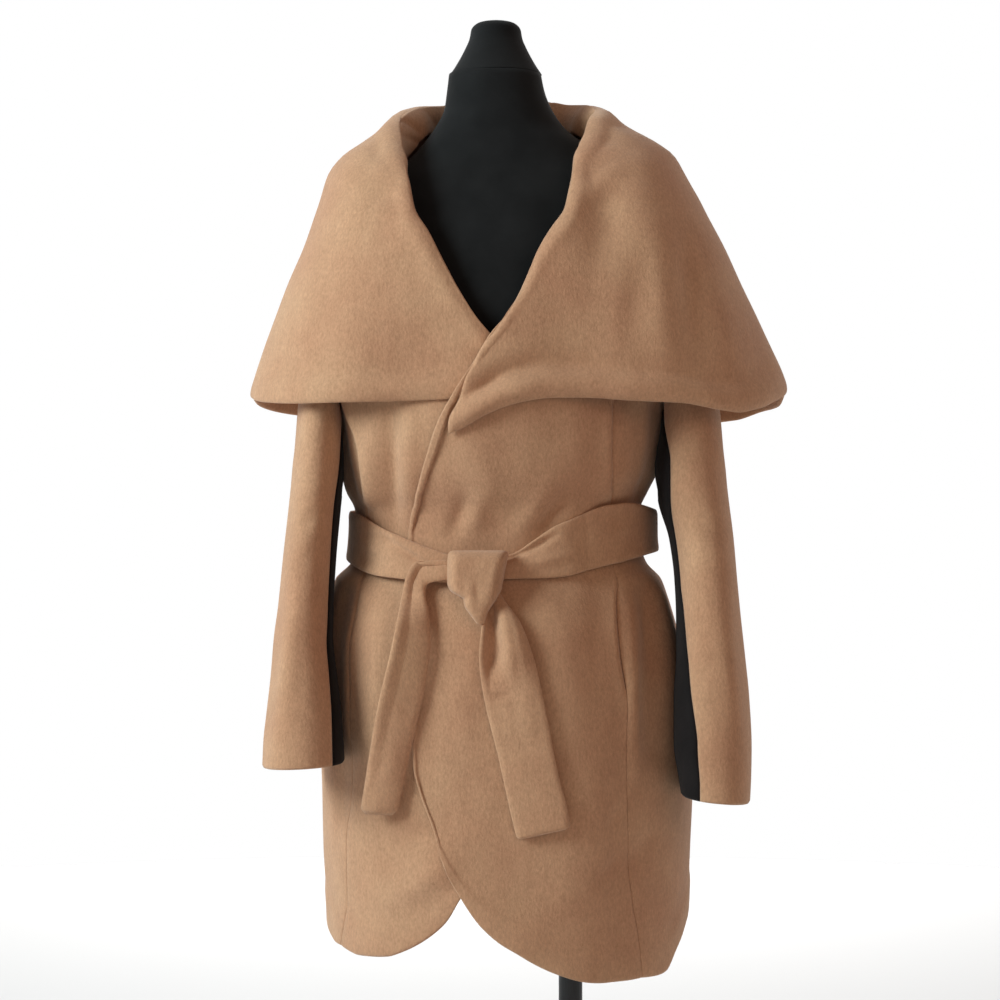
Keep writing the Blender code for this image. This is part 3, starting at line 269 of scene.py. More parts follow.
LEFT_COLLAR_HEM = table(
    "angle height",
    (-13.3, 1035.1), (-11.9, 1037.6), (-10, 1042), (-7.6, 1049.8), (-5.6, 1055.2), (-1.8, 1062.6),
    (2.1, 1067.5), (6.1, 1070.1), (12.1, 1070.8), (22, 1068), (38, 1065.5), (50, 1061), (64, 1066.5),
    (90, 1079), (115, 1072), (145, 1064), (180, 1062),
)
NECK_LINE = table(
    "angle height",
    (56, 1300), (72, 1313), (83, 1330), (90, 1350),
)
# The foot of the standing part of the collar: its column's angle, and its foot on the form.
STAND_FOOT = table(
    "angle turn height",
    (36, 50, 1286), (45, 62, 1296), (55, 72, 1308), (65, 80, 1322), (75, 86, 1334), (86, 92, 1344),
    (100, 102, 1350), (180, 180, 1352.2),
)
# Creases of the standing part. Their x is an angle in degrees.
STAND_CREASES = table(
    "x height to_x to_height width rise",
    (60, 1340, 100, 1344, 2.5, -2.2), (300, 1344, 262, 1340, 2.5, -2.2), (292, 1376, 276, 1348, 5, -3),
    (120, 1350, 180, 1354, 4, 2), (252, 1390, 244, 1356, 6, -2.4), (70, 1374, 84, 1350, 6, -2.4),
)
# Rings of the sleeves: where they are outside and inside, their y, half depth and dark seam's turn.
RIGHT_SLEEVE = table(
    "outer_x outer_z inner_x inner_z y deep seam",
    (164, 1288, 179, 1148, 0, 60, 150), (174, 1255, 175, 1133, -3, 61, 150),
    (182, 1210, 166, 1115, -10, 64, 150), (192, 1150, 157, 1090, -22, 66, 150),
    (199, 1075, 153, 1055, -36, 64, 152), (202.8, 1018, 154, 1008, -47, 62, 150),
    (207.2, 966.9, 158, 962, -57, 61, 146), (212.5, 912.1, 162, 910, -68, 59, 150),
    (216.8, 862.8, 164, 862, -78, 57, 152), (220.3, 832.8, 164, 832.8, -86, 56, 150),
    (222.9, 793.8, 159, 793.8, -95, 55, 146), (226.2, 760, 154.5, 760, -102, 54, 143),
    (229, 730, 152, 731, -108, 54, 141), (229.7, 705, 150.6, 709, -112, 54, 140),
)
LEFT_SLEEVE = table(
    "outer_x outer_z inner_x inner_z y deep seam",
    (177.5, 1290, 186, 1148, 0, 62, 150), (195, 1255, 180, 1133, -3, 64, 150),
    (208, 1205, 173, 1115, -10, 66, 150), (218, 1145, 170, 1090, -20, 66, 152),
    (228.5, 1075, 169, 1055, -34, 64, 150), (232.9, 1016.1, 164, 1010, -46, 62, 128),
    (236.5, 974.1, 168, 970, -56, 60, 136), (241.1, 930, 179, 930, -66, 58, 150),
    (243.7, 890, 183.5, 890, -76, 56, 152), (246.2, 856.4, 184.5, 856.4, -85, 55, 146),
    (250, 815, 184, 815, -94, 54, 138), (253.5, 775, 181.2, 775, -101, 54, 128),
    (255.4, 729, 180.5, 729, -107, 54, 119), (254.5, 695, 185, 695, -110, 53, 121),
    (253.1, 670, 187.7, 676, -112, 52, 124),
)
# The belt, its knot and its tails. cup and far are how high the rims of a tail stand.
BELT_EDGES = table(
    "angle top bottom",
    (-180, 962, 908), (-95, 960, 906), (-64, 956.4, 898.5), (-50, 946, 892.4), (-42, 938.5, 889),
    (-33.7, 929.9, 887.5), (-25.6, 921.9, 885.5), (-17.9, 915.5, 883.5), (-7, 912.5, 884),
    (3.6, 915.1, 888), (14.1, 931.2, 888.5), (22.4, 947.1, 890), (33.2, 958, 897.5), (43.7, 969.5, 902.5),
    (53.2, 972.5, 907), (68, 970, 910), (90, 966, 911), (180, 962, 908),
)
KNOT = table(
    "height left_x right_x",
    (919, -40.5, 10.5), (916.5, -43.1, 12), (911.5, -44, 11.1), (899.8, -44.4, 8.6), (889, -44.2, 6.5),
    (882.2, -41.6, 5.2), (878.3, -35.3, 2.8), (874, -28.8, 0.6), (866.6, -27.2, -4.5), (858.8, -21.6, -8.9),
    (849, -14.3, -11.6),
)
RIGHT_TAIL = table(
    "left_x left_z right_x right_z lift cup far",
    (-33, 910, -33, 885, 6, 1, 0), (-46, 909.6, -46, 883.6, 8, 2, 0), (-56.1, 908.7, -53.2, 882.1, 8, 4, 0),
    (-64.7, 906.7, -59.1, 880.6, 8, 6, 0), (-71.2, 900.3, -63.1, 877.7, 8, 7, 0),
    (-76.3, 892, -64.5, 873.7, 8, 7, 0), (-80.2, 883.1, -64, 867.8, 8, 7, 0),
    (-82.2, 874.8, -62.1, 860, 6.6, 7, 0), (-85.1, 863.5, -60.6, 850.2, 5, 6, 0),
    (-88.3, 848.8, -60.1, 838.4, 3.8, 5, 0), (-91.2, 833, -59, 827, 3, 6, 0),
    (-97.4, 805, -62.2, 803, 2.4, 6, 0), (-104.3, 778.2, -66.2, 778.2, 2, 5, 0),
    (-110, 750, -72.8, 750, 2, 4, 0), (-116, 716.9, -79.8, 716.9, 2, 2, 0),
    (-126.2, 661, -90.7, 660, 2, 0, 0),
)
LEFT_TAIL = table(
    "left_x left_z right_x right_z lift cup far",
    (-11, 879, 1, 879, 2, 0, 0), (-10, 870, 8, 870, 2, 0, 1), (-9.6, 860.7, 14.5, 860.7, 2, 0, 3),
    (-10.9, 847.7, 24.3, 847.7, 2, 6, 6), (-12.4, 833, 31.2, 833, 2, 8, 7),
    (-13.9, 818.3, 36.5, 818.3, 2, 7, 6), (-13.3, 802.7, 40.9, 802.7, 2, 4, 4),
    (-10.6, 782.1, 45.3, 782.1, 2, 1, 1), (-5.4, 757.6, 50.5, 757.6, 2, 0, 0), (4, 720, 57, 720, 2, 0, 0),
    (10.5, 690, 63, 693, 2, 0, 0), (16.5, 662, 69, 670, 2, 0, 0), (22.5, 638, 72.2, 650, 2, 0, 0),
)
NECK_CAP = table(
    "height radius",
    (1412.4, 47.7), (1422, 41.5), (1436.5, 33.5), (1450, 27.6), (1460, 25.5), (1466, 19), (1468, 10.5),
)
# Fine folds, seen from the front, on top of the large ones. Troughs are below 0.
FRONT_CREASES = table(
    "x height to_x to_height width rise",
    # the right front above the belt
    (-121, 1055, -125, 955, 9, 5), (-103, 1062, -101, 945, 8, -7.6), (-84, 1050, -85, 960, 9, 4.6),
    # the left front above the belt
    (46, 940, 77, 990, 7, -5.2), (64, 935, 101, 980, 10, 4.4), (18, 930, 55, 985, 10, 3.4),
    (-22, 940, -11, 978, 10, 4), (-42, 935, -28, 972, 8, -3.4), (30, 1020, 90, 1010, 22, -2),
    # the skirt's right front
    (-112, 875, -119, 660, 12, 4.6), (-138, 870, -144, 690, 8, -3.4), (-91, 870, -96, 720, 9, -2.4),
    (-42, 612, -100, 575, 13, 5), (-50, 650, -110, 618, 15, -4.4),
    # the skirt's left front, and the side panel beside it
    (-58, 860, -60, 740, 12, -1.6), (-20, 850, -30, 720, 16, 1.4), (60, 870, 80, 760, 14, 1.8),
    (98, 860, 100, 720, 12, -1.6), (102, 595, 124, 618, 5, -2.2), (112, 650, 124, 662, 5, -1.8),
    (40, 560, 100, 590, 18, 1.8), (135, 870, 140, 700, 8, 4), (154, 880, 150, 720, 9, -4.6),
    (172, 860, 176, 700, 12, 2.8),
)
COLLAR_CREASES = table(
    "x height to_x to_height width rise",
    # the right half
    (-178, 1290, -215, 1110, 30, 2.2), (-130, 1300, -165, 1090, 32, -2.2), (-94, 1268, -124, 1276, 6, -1.8),
    (-96, 1260, -120, 1262, 6, 1.2), (-60, 1180, -150, 1100, 34, 2), (-40, 1140, -110, 1105, 20, -1.8),
    # the left half: the roll's fold, and the soft folds that fall from the shoulder
    (90, 1267, 129, 1308, 10, 3.4), (129, 1308, 172, 1306, 10, 2), (121, 1290, 98, 1165, 24, -3.4),
    (144, 1215, 136, 1130, 17, -3.2), (160, 1240, 168, 1085, 14, 3.6), (190, 1235, 200, 1110, 13, -4.8),
    (218, 1180, 243, 1080, 15, 2.4),
    # the left half's hem, a soft band with a hollow above it
    (-30, 1050, 6, 1072, 8, 4), (6, 1072, 45, 1082, 9, 3.6), (45, 1082, 104, 1084, 10, 2.6),
    (104, 1084, 155, 1080, 12, 1.6), (-20, 1072, 11, 1094, 9, -4), (11, 1094, 50, 1106, 11, -3.2),
    (50, 1106, 104, 1108, 14, -2),
)
# The left front's folded edge, as wide as the lapel is there.
LAPEL = table(
    "height width",
    (940, 5.5), (965, 8.2), (988, 11.8), (1008, 15.2), (1024, 18.2), (1039, 19.4), (1054, 18.5),
    (1069, 17.5), (1089, 15.5), (1120, 12.5), (1160, 11),
)
# Folds of the sleeves, along and across them. turn 0 is away from the body, 90 the front.
SLEEVE_CREASES = table(
    "turn height to_turn to_height width rise",
    (60, 1030, 20, 1000, 10, 1.2), (110, 960, 70, 940, 10, -1.6), (100, 930, 60, 915, 9, 1.6),
    (80, 860, 60, 740, 14, 1.8), (40, 880, 30, 720, 14, -1.6), (-60, 960, -20, 940, 11, -1.8),
    (-70, 900, -30, 880, 10, 1.8), (-50, 860, -40, 740, 14, 1.6),
)
BELT_CREASES = table(
    "x height to_x to_height width rise",
    (-112, 937, -94, 923, 4, -3), (-94, 923, -70, 906, 3.6, -3.4), (-118, 942, -60, 910, 6, 1.6),
    (11, 911, 34, 921, 3.4, -4), (34, 921, 60, 938, 4, -3.2), (18, 919, 50, 937, 4, 2),
    (28, 903, 76, 912, 8, 2.6), (-130, 925, -95, 908, 9, 2), (90, 933, 135, 942, 10, 1.8),
)
# The knot's front, as y at its sides and at its middle.
KNOT_FACE = table(
    "height side front",
    (919, -134.5, -145), (916.5, -134.5, -153), (911, -134.5, -159), (900, -135, -161.5),
    (889, -138.5, -163), (878.3, -144, -165.5), (866.6, -150.5, -168), (858.8, -155, -168),
    (849, -159, -164),
)
KNOT_CREASES = table(
    "x height to_x to_height width rise",
    (-22.5, 892, -22.5, 860, 5, 1), (-18, 890, -16.5, 872, 4.5, -1.2), (-38, 912, -38, 890, 6, 1.2),
    (-20, 914, -18, 900, 7, -0.8), (4, 910, -6, 876, 5, 1.4),
)
TAIL_CREASES = table(
    "x height to_x to_height width rise",
    (-4, 856, 3, 830, 6, -5), (1, 830, -2, 801, 7.5, -6.2), (6, 856, 13, 825, 5.5, 2.6),
    (13, 825, 12, 790, 7, 2.4), (-4, 774, 20, 783, 5, -1.4), (10, 730, 40, 726, 6, -1),
    (30, 790, 35, 740, 8, 1.2), (-90, 770, -76, 760, 5, -1), (-92, 730, -98, 690, 7, 1),
)
# The looks. Scales of noise are in waves per metre.
WOOL_LIGHT = (0.578, 0.330, 0.190, 1)
WOOL_DARK = (0.518, 0.266, 0.151, 1)
CLOUD_DARK = (0.90, 0.885, 0.87, 1)
FLECK_DARK = (0.74, 0.725, 0.71, 1)
SHEEN_TINT = (1.0, 0.86, 0.74, 1)
WHITE = (1, 1, 1, 1)
CLOUD_STRETCH = (1, 1, 0.45)
NAP_STRETCH = (1, 1, 0.5)
KNIT_BLACK = (0.0050, 0.0036, 0.0036, 1)
JERSEY_BLACK = (0.0058, 0.0058, 0.0060, 1)
METAL_DARK = (0.022, 0.022, 0.023, 1)
METAL_LIGHT = (0.034, 0.034, 0.035, 1)
FLOOR_PALE = (0.66, 0.66, 0.66, 1)
FLOOR_SIDES = 96
FLOOR_RADIUS = 4.2
FLOOR_HEIGHT = -0.0005
# Lamps: name, place, what it points at, size, power and colour.
LIGHTS = (
    ("key", (-2.7, -1.30, 2.25), (0, 0, 1.18), 1.6, 121, (0.82, 0.992, 1.032)),
    ("fill", (1.6, -3.0, 2.2), (0, 0, 1.1), 2.0, 14, (1.0, 0.65, 0.48)),
    ("floor_light", (0, 4.4, 2.6), (0, 4.2, 0), 3.4, 125, (1.0, 1.0, 1.0)),
)
SKY_NEAR = (0.228, 0.188, 0.164, 1)
SKY_FAR = WHITE
SKY_FROM = -0.3
SKY_TO = 0.8
CAMERA_PLACE = (0.0057, -2.604, 0.97)
CAMERA_LENS = 90
CAMERA_SENSOR = 36


def smooth(at, known, values):
    """A monotone cubic through the known values, held beyond their ends."""
    at = np.clip(at, known[0], known[-1])
    step = np.diff(known)
    slope = np.diff(values) / step
    turn = slope[:-1] * slope[1:]
    both = slope[:-1] + slope[1:]
    inner = np.where(turn > 0, 2 * turn / np.where(both == 0, 1, both), 0)
    tangent = np.concatenate([slope[:1], inner, slope[-1:]])
    i = np.clip(np.searchsorted(known, at, side="right") - 1, 0, len(step) - 1)
    t = (at - known[i]) / step[i]
    start = values[i] * (1 + 2 * t) * (1 - t) ** 2 + tangent[i] * step[i] * t * (1 - t) ** 2
    end = values[i + 1] * t * t * (3 - 2 * t) + tangent[i + 1] * step[i] * t * t * (t - 1)
    return start + end


def ramp(at, start, end):
    """0 at start, 1 at end, with soft ends."""
    t = np.clip((at - start) / (end - start), 0, 1)
    return t * t * (3 - 2 * t)


def window(at, start, full, hold, end):
    """0 outside start to end, 1 between full and hold."""
    return ramp(at, start, full) * (1 - ramp(at, hold, end))


def bell(at, width):
    """1 at 0, falling off softly on both sides."""
    return np.exp(-((at / width) ** 2))


def close_at_ends(count):
    """Shares from 0 to 1, closer together at both ends."""
    return 0.5 - 0.5 * np.cos(np.pi * np.linspace(0, 1, count))


def read_rows(rows, shares):
    """A table's columns, read at shares of its length."""
    known = np.arange(len(next(iter(rows.values()))), dtype=float)
    return {name: smooth(shares * known[-1], known, values) for name, values in rows.items()}


def from_zero(angle):
    """An angle from -180 to 180."""
    return np.mod(angle + 180, 360) - 180


def from_line(across, along, run, drop):
    """The nearest share of the line from the origin to (run, drop), and the distance from it."""
    share = np.clip((across * run + along * drop) / (run * run + drop * drop), 0, 1)
    return share, np.hypot(across - share * run, along - share * drop)


def round_reach(across, along, power):
    """How far out a rounded square reaches in a direction."""
    return (np.abs(across) ** power + np.abs(along) ** power) ** (-1 / power)


def section_at(section, height):
    """The section's middle in X, half width, front depth and back depth at a height."""
    names = ("right", "left", "front", "back")
    right, left, front, back = [smooth(height, section["height"], section[name]) for name in names]
    return (left - right) / 2, (left + right) / 2, front, back


def on_surface(section, angle, height):
    """Points on the surface that a section table makes."""
    middle, half, front, back = section_at(section, height)
    turn = np.radians(angle)
    across, along = np.sin(turn), np.cos(turn)
    reach = round_reach(across, along, SQUARE)
    x = middle + half * reach * across
    y = -np.where(along > 0, front, back) * reach * along
    return np.stack([x, y, height + 0 * x], -1)


def outward(section, angle, height):
    """The surface's unit normals."""
    turn, rise = 0.05, 0.0005
    around = on_surface(section, angle + turn, height) - on_surface(section, angle - turn, height)
    upward = on_surface(section, angle, height + rise) - on_surface(section, angle, height - rise)
    return unit(np.cross(around, upward))


def lifted(section, angle, height, rise):
    """Points above a section's surface, along its normals."""
    return on_surface(section, angle, height) + outward(section, angle, height) * rise[..., None]


def unit(vectors):
    """The same vectors, one long."""
    return vectors / np.linalg.norm(vectors, axis=-1, keepdims=True)


def angle_at(section, x, height):
    """The angle on the front half where the surface has this x."""
    middle, half, _, _ = section_at(section, height)
    across = np.clip((x - middle) / half, -1, 1)
    along = (1 - np.abs(across) ** SQUARE) ** (1 / SQUARE)
    return np.degrees(np.arctan2(across, along))


def push_clear(points, gap):
    """Points nearer to the coat's outside than gap are moved straight out from its axis."""
    x, y, height = points[..., 0], points[..., 1], points[..., 2]
    middle, half, front, back = section_at(COAT, height)
    across, along = (x - middle) / half, y / np.where(y < 0, front, back)
    ratio = np.maximum(1 / round_reach(across, along, SQUARE), 1e-6)
    angle = np.degrees(np.arctan2(across, -along))
    reach = np.hypot(x - middle, y) / ratio
    folds = np.maximum(relief(angle, height), 0)
    wanted = 1 + (gap + coat_outside(angle, height) + folds) / reach
    grow = np.maximum(wanted / ratio, 1)
    moved = points.copy()
    moved[..., 0] = middle + (x - middle) * grow
    moved[..., 1] = y * grow
    return moved


def relief(angle, height):
    """The coat's folds: how far the cloth stands out of its sections."""
    total = 0 * angle
    for start_a, start_z, end_a, end_z, width, rise in zip(*FOLDS.values()):
        across = from_zero(angle - start_a) * ARC
        _, apart = from_line(across, height - start_z, (end_a - start_a) * ARC, end_z - start_z)
        total = total + rise * bell(apart, width)
    return total * (1 - 0.8 * window(height, *UNDER_BELT))


def lap_lift(angle, height):
    """How far the left front's inside is above the right front's inside."""
    over_front = OVER * (1 - ramp(angle, 24, 35))
    over_collar = TUCK * (1 - ramp(angle, 6, 22)) * window(height, *LAPEL_TUCK)
    return over_front + over_collar


def coat_outside(angle, height):
    """How far the coat's outermost layer is above the sections."""
    lapped = window(angle, -56, -38, 60, 80)
    return WOOL + lap_lift(angle, height) * lapped


def on_coat(angle, height, lift):
    """Points on the coat's body, lifted along its normals."""
    return lifted(COAT, angle, height, lift + relief(angle, height))


def dense(section, edge):
    """A table of x and height as a dense list of (angle, height) on the front."""
    rows = read_rows(edge, np.linspace(0, 1, EDGE_POINTS))
    return np.stack([angle_at(section, rows["x"], rows["height"]), rows["height"]], 1)


def by_angle(edge):
    """A table of angle and height as a dense list of (angle, height)."""
    angles = np.linspace(edge["angle"][0], edge["angle"][-1], EDGE_POINTS)
    order = np.argsort(edge["angle"])
    height = smooth(angles, edge["angle"][order], edge["height"][order])
    return np.stack([angles, height], 1)


def seam_line(seam, foot):
    """A seam from its foot up to the armhole."""
    heights = np.linspace(foot, seam["height"][-1], SEAM_POINTS)
    return np.stack([smooth(heights, seam["height"], seam["angle"]), heights], 1)


def armhole(side, start, end):
    """Part of an armhole: -90 is the underarm, 0 its front and 90 the shoulder."""
    turn = np.radians(np.linspace(start, end, ARMHOLE_POINTS))
    angle = side * (90 - ARMHOLE_HALF_ANGLE * np.cos(turn))
    return np.stack([angle, ARMHOLE_HEIGHT + ARMHOLE_HALF_HEIGHT * np.sin(turn)], 1)


def back_line(side, foot):
    """The seam between back and side panel, straight up to the armhole."""
    heights = np.linspace(foot, ARMHOLE_HEIGHT, BACK_POINTS)
    return np.stack([np.full(BACK_POINTS, side * BACK_SEAM), heights], 1)


def hidden_neck(side, height):
    """The front's neck edge under the collar, from the V's foot to the shoulder seam."""
    roll = LEFT_ROLL if side > 0 else RIGHT_ROLL
    heights = np.linspace(height + NECK_ENDS, NECK_SEAM - NECK_ENDS, NECK_POINTS)
    edge = smooth(heights, roll["height"], roll["x"]) + UNDER_ROLL * side
    points = np.stack([angle_at(COAT, edge, heights), heights], 1)
    shoulder = np.stack([side * NECK_LINE["angle"], NECK_LINE["height"]], 1)
    return np.concatenate([points[:-6], shoulder])


def snap(points, end):
    """The same polyline, with its last point put on end."""
    moved = np.array(points, float)
    moved[-1] = end
    return moved


def waves(angle, height):
    """The cape collar's waves, which grow towards its hem."""
    total = 0 * angle
    for centre, spread, rise in zip(*WAVES.values()):
        total = total + rise * bell(from_zero(angle - centre), spread)
    return total * ramp(height, 1.26, 1.06)


def roll_edge(side, roll):
    """The collar's roll, from its front end to the centre back, as (angle, height)."""
    front = dense(CAPE, roll)
    back = by_angle(ROLL_BACK)
    back[:, 0] *= side
    lift = front[-1, 1] - back[0, 1]
    back[:, 1] += lift * (1 - ramp(np.abs(back[:, 0]), 64, 120))
    keep = np.abs(back[:, 0]) > abs(front[-1, 0]) + 4
    return np.concatenate([front, back[keep]])


def collar_lift(side, angle, height):
    """How far above the coat's inside the collar's middle lies where it is pressed on the front."""
    if side > 0:
        return lap_lift(angle, height) + WOOL + COLLAR_GAP + COLLAR / 2
    return WOOL + COLLAR_GAP + COLLAR / 4


def lay_on_front(points, side):
    """Press the collar's front end on the front below it, and keep the rest clear of the coat."""
    points = push_clear(points, COLLAR_GAP + COLLAR / 2)
    x, height = points[..., 0], points[..., 2]
    angle = angle_at(COAT, x, height)
    soft_roll = 0.008 * ramp(height, 1.16, 1.26)
    laid = on_coat(angle, height, collar_lift(side, angle, height) + soft_roll)
    front = points[..., 1] < 0
    share = ramp(x, *PRESSED[side]) * ramp(height, 1.36, 1.22) * front
    near_roll = ramp(np.abs(x), 0.150, 0.095) * ramp(height, 1.36, 1.28) * front
    share = np.maximum(share, 0.7 * near_roll * ramp(height, 1.18, 1.24))
    pressed = points.copy()
    pressed[..., 1] = points[..., 1] * (1 - share) + laid[..., 1] * share
    return pressed


def polar(points):
    """Angles of points round the form's axis, 0 to 360, 0 at the front."""
    return np.mod(np.degrees(np.arctan2(points[..., 0], -points[..., 1])), 360)


def flat(angle, height):
    """No lift: the panel lies on the sections."""
    return 0 * angle


def put(name, data):
    """A new object in the scene."""
    made = bpy.data.objects.new(name, data)
    bpy.context.collection.objects.link(made)
    return made


def solid(name, finish, vertices, faces):
    """A closed smooth mesh object whose faces point out."""
    mesh = bpy.data.meshes.new(name)
    mesh.from_pydata([tuple(map(float, v)) for v in vertices], [], faces)
    shape = bmesh.new()
    shape.from_mesh(mesh)
    bmesh.ops.recalc_face_normals(shape, faces=shape.faces)
    shape.to_mesh(mesh)
    shape.free()
    mesh.polygons.foreach_set("use_smooth", [True] * len(mesh.polygons))
    mesh.materials.append(bpy.data.materials[finish])
    return put(name, mesh)


def wall(name, finish, inner, outer, ring=False):
    """A wall between two grids. A ring closes on itself along its first axis."""
    across, along = inner.shape[:2]
    vertices = np.concatenate([inner.reshape(-1, 3), outer.reshape(-1, 3)])
    far = across * along
    last = across if ring else across - 1
    faces = []
    for i in range(last):
        here, there = i * along, (i + 1) % across * along
        for j in range(along - 1):
            quad = (here + j, there + j, there + j + 1, here + j + 1)
            faces.append(tuple(far + k for k in quad))
            faces.append(quad[::-1])
        for j in (0, along - 1):
            faces.append((here + j, there + j, far + there + j, far + here + j))
    if not ring:
        for here in (0, (across - 1) * along):
            for j in range(along - 1):
                faces.append((here + j, here + j + 1, far + here + j + 1, far + here + j))
    return solid(name, finish, vertices, faces)


def tube(name, finish, rings):
    """A closed body through rings of points, with flat ends."""
    count, around = rings.shape[:2]
    faces = [tuple(range(around)), tuple((count - 1) * around + i for i in range(around))]
    for k in range(count - 1):
        for i in range(around):
            j = (i + 1) % around
            faces.append((k * around + i, k * around + j, (k + 1) * around + j, (k + 1) * around + i))
    return solid(name, finish, rings.reshape(-1, 3), faces)


def crease_lines(x, height, lines):
    """Soft ridges and troughs along short lines, fainter at their ends."""
    total = 0 * x
    for start_x, start_z, end_x, end_z, width, rise in zip(*lines.values()):
        share, apart = from_line(x - start_x, height - start_z, end_x - start_x, end_z - start_z)
        total = total + rise * (0.35 + 0.65 * np.sin(np.pi * share)) * bell(apart, width)
    return total


def steps_along(points):
    """The lengths of a polyline's pieces, from its (angle, height)."""
    return np.linalg.norm(np.diff(points * (ARC, 1), axis=0), axis=1)


def resample(points, shares):
    """A polyline of (angle, height) at shares of its length."""
    length = np.concatenate([[0], np.cumsum(steps_along(points))])
    at = shares * length[-1]
    return np.stack([np.interp(at, length, points[:, 0]), np.interp(at, length, points[:, 1])], 1)


def shares_of(length, step):
    """Shares of a length, in fine steps at both ends and even ones between."""
    count = max(int((length - 2 * RIM[-1]) / step), 2)
    middle = np.linspace(RIM[-1], length - RIM[-1], count + 1)
    return np.concatenate([RIM[:-1], middle, (length - RIM[:-1])[::-1]]) / length


def patch(bottom, top, left, right, step):
    """A grid of (angle, height) inside four edges. left and right run from bottom to top."""
    across = shares_of((steps_along(bottom).sum() + steps_along(top).sum()) / 2, step)
    along = shares_of((steps_along(left).sum() + steps_along(right).sum()) / 2, step)
    low, high = resample(bottom, across)[:, None], resample(top, across)[:, None]
    near, far = resample(left, along)[None], resample(right, along)[None]
    u, v = across[:, None, None], along[None, :, None]
    ruled = low * (1 - v) + high * v + near * (1 - u) + far * u
    start = low[0] * (1 - u) + low[-1] * u
    end = high[0] * (1 - u) + high[-1] * u
    return ruled - start * (1 - v) - end * v


def from_sides(points):
    """Each point's distance along the cloth to the grid's four sides: near, far, low and high."""
    first = np.linalg.norm(np.diff(points, axis=0), axis=2)
    second = np.linalg.norm(np.diff(points, axis=1), axis=2)
    near = np.concatenate([0 * first[:1], np.cumsum(first, axis=0)])
    low = np.concatenate([0 * second[:, :1], np.cumsum(second, axis=1)], axis=1)
    return near, near[-1:] - near, low, low[:, -1:] - low


def round_edge(distance, thick):
    """The share of its thickness that a round-edged cloth has near its edge."""
    share = np.clip(distance / (thick / 2), 0, 1)
    return np.sqrt(np.maximum(1 - (1 - share) ** 2, 0.004))


def cloth(name, middle, normal, thick, finish, free="near far low high", reach=None, pad=0.0, ring=False):
    """A shell of cloth round its middle surface: soft at its free edges, tight at its seams.

    reach is how far in a soft edge starts to curve, and pad is added to the outer face. A ring
    closes on itself along its first axis.
    """
    names = ("low", "high") if ring else ("near", "far", "low", "high")
    sides = dict(zip(("near", "far", "low", "high"), from_sides(middle)))
    far_off = np.full(middle.shape[:2], 1.0)
    soft = np.minimum.reduce([far_off] + [sides[side] for side in names if side in free])
    tight = np.minimum.reduce([far_off] + [sides[side] for side in names if side not in free])
    seam = round_edge(tight, 2 * SEAM_ROUND)
    inner = thick / 2 * round_edge(soft, thick) * seam
    outer = (thick / 2 + pad) * round_edge(soft, 2 * (reach or thick / 2)) * seam
    low, high = middle - normal * inner[..., None], middle + normal * outer[..., None]
    return wall(name, finish, low, high, ring)


def grid_out(points):
    """Unit normals of a grid of points, on the side away from the form's axis."""
    first, second = np.gradient(points, axis=0), np.gradient(points, axis=1)
    normal = unit(np.cross(first, second))
    return normal * np.sign((normal * points * (1, 1, 0)).sum(-1).mean())


def stand_for(piece, node):
    """The piece takes its node's place on the model."""
    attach(piece, "root")
    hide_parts(node)


def relax(values, rounds):
    """A grid of values smoothed down its first axis, with its ends held."""
    values = values.copy()
    for _ in range(rounds):
        values[1:-1] = (values[:-2] + 2 * values[1:-1] + values[2:]) / 4
    return values


def body_panel(name, node, edges, lift, free, shape):
    """A panel of the coat's body, with its own folds and pads from shape(height, sides)."""
    angle, height = np.moveaxis(patch(*edges, CLOTH_STEP), 2, 0)
    points = on_coat(angle, height, lift(angle, height) + WOOL / 2)
    front = points[..., 1] < 0.02
    rise, pad = shape(height, from_sides(points))
    rise = rise + crease_lines(points[..., 0], height, FRONT_CREASES) * front
    points = points + outward(COAT, angle, height) * rise[..., None]
    piece = cloth(name, points, grid_out(points), WOOL, "wool", free, HEM_ROUND, pad)
    stand_for(piece, node)


def seam_dip(distance, height=1.0):
    """The cloth sinks a little into a seam, less so low on the skirt."""
    faint = 0.35 + 0.65 * ramp(height, 0.740, 0.785)
    return -SEAM_DEPTH * faint * bell(distance, SEAM_WIDTH)


def tuck(distance, rise, reach):
    """A fold that stands out beside a seam, and comes down to it."""
    return rise * (1 - bell(distance, TUCK_WIDTH)) * np.exp(-distance / reach)


def hem_pad(distance):
    """The hem's turned-up cloth, thicker than the rest."""
    return HEM_PAD * (1 - ramp(distance, 0.030, 0.042))


def left_front_shape(height, sides):
    """The folded edge, the folds beside the princess seam and the pocket's opening in it."""
    near, far, low, _ = sides
    above = ramp(height, 0.930, 0.965)
    width = smooth(height, LAPEL["height"], LAPEL["width"])
    share = np.clip(near / width, 0, 1)
    strip = EDGE_PAD * (0.25 + 0.75 * above) * (1 - (2 * share - 1) ** 6)
    groove = -0.0014 * above * bell(near - width - 0.0008, 0.0022)
    step = tuck(far, 0.0040, 0.022) * window(height, *LEFT_STEP)
    pocket = tuck(far, 0.0030, 0.010) * window(height, *POCKET_FOLD)
    lip = -0.0015 * bell(far, 0.004) * window(height, *POCKET)
    edge = 0.0022 * (1 - above) * bell(near, 0.007)
    rise = groove + step + pocket + lip + edge + seam_dip(far, height)
    return rise, np.maximum(strip, hem_pad(low))


def right_front_shape(height, sides):
    """A fold beside the princess seam."""
    near, far, low, _ = sides
    step = tuck(far, 0.0045, 0.020) * window(height, *RIGHT_STEP)
    return step + seam_dip(far, height), np.maximum(hem_pad(low), hem_pad(near + 0.020))


def back_shape(height, sides):
    """Plain, with a seam at each side."""
    near, far, low, _ = sides
    return seam_dip(near, height) + seam_dip(far, height), hem_pad(low)


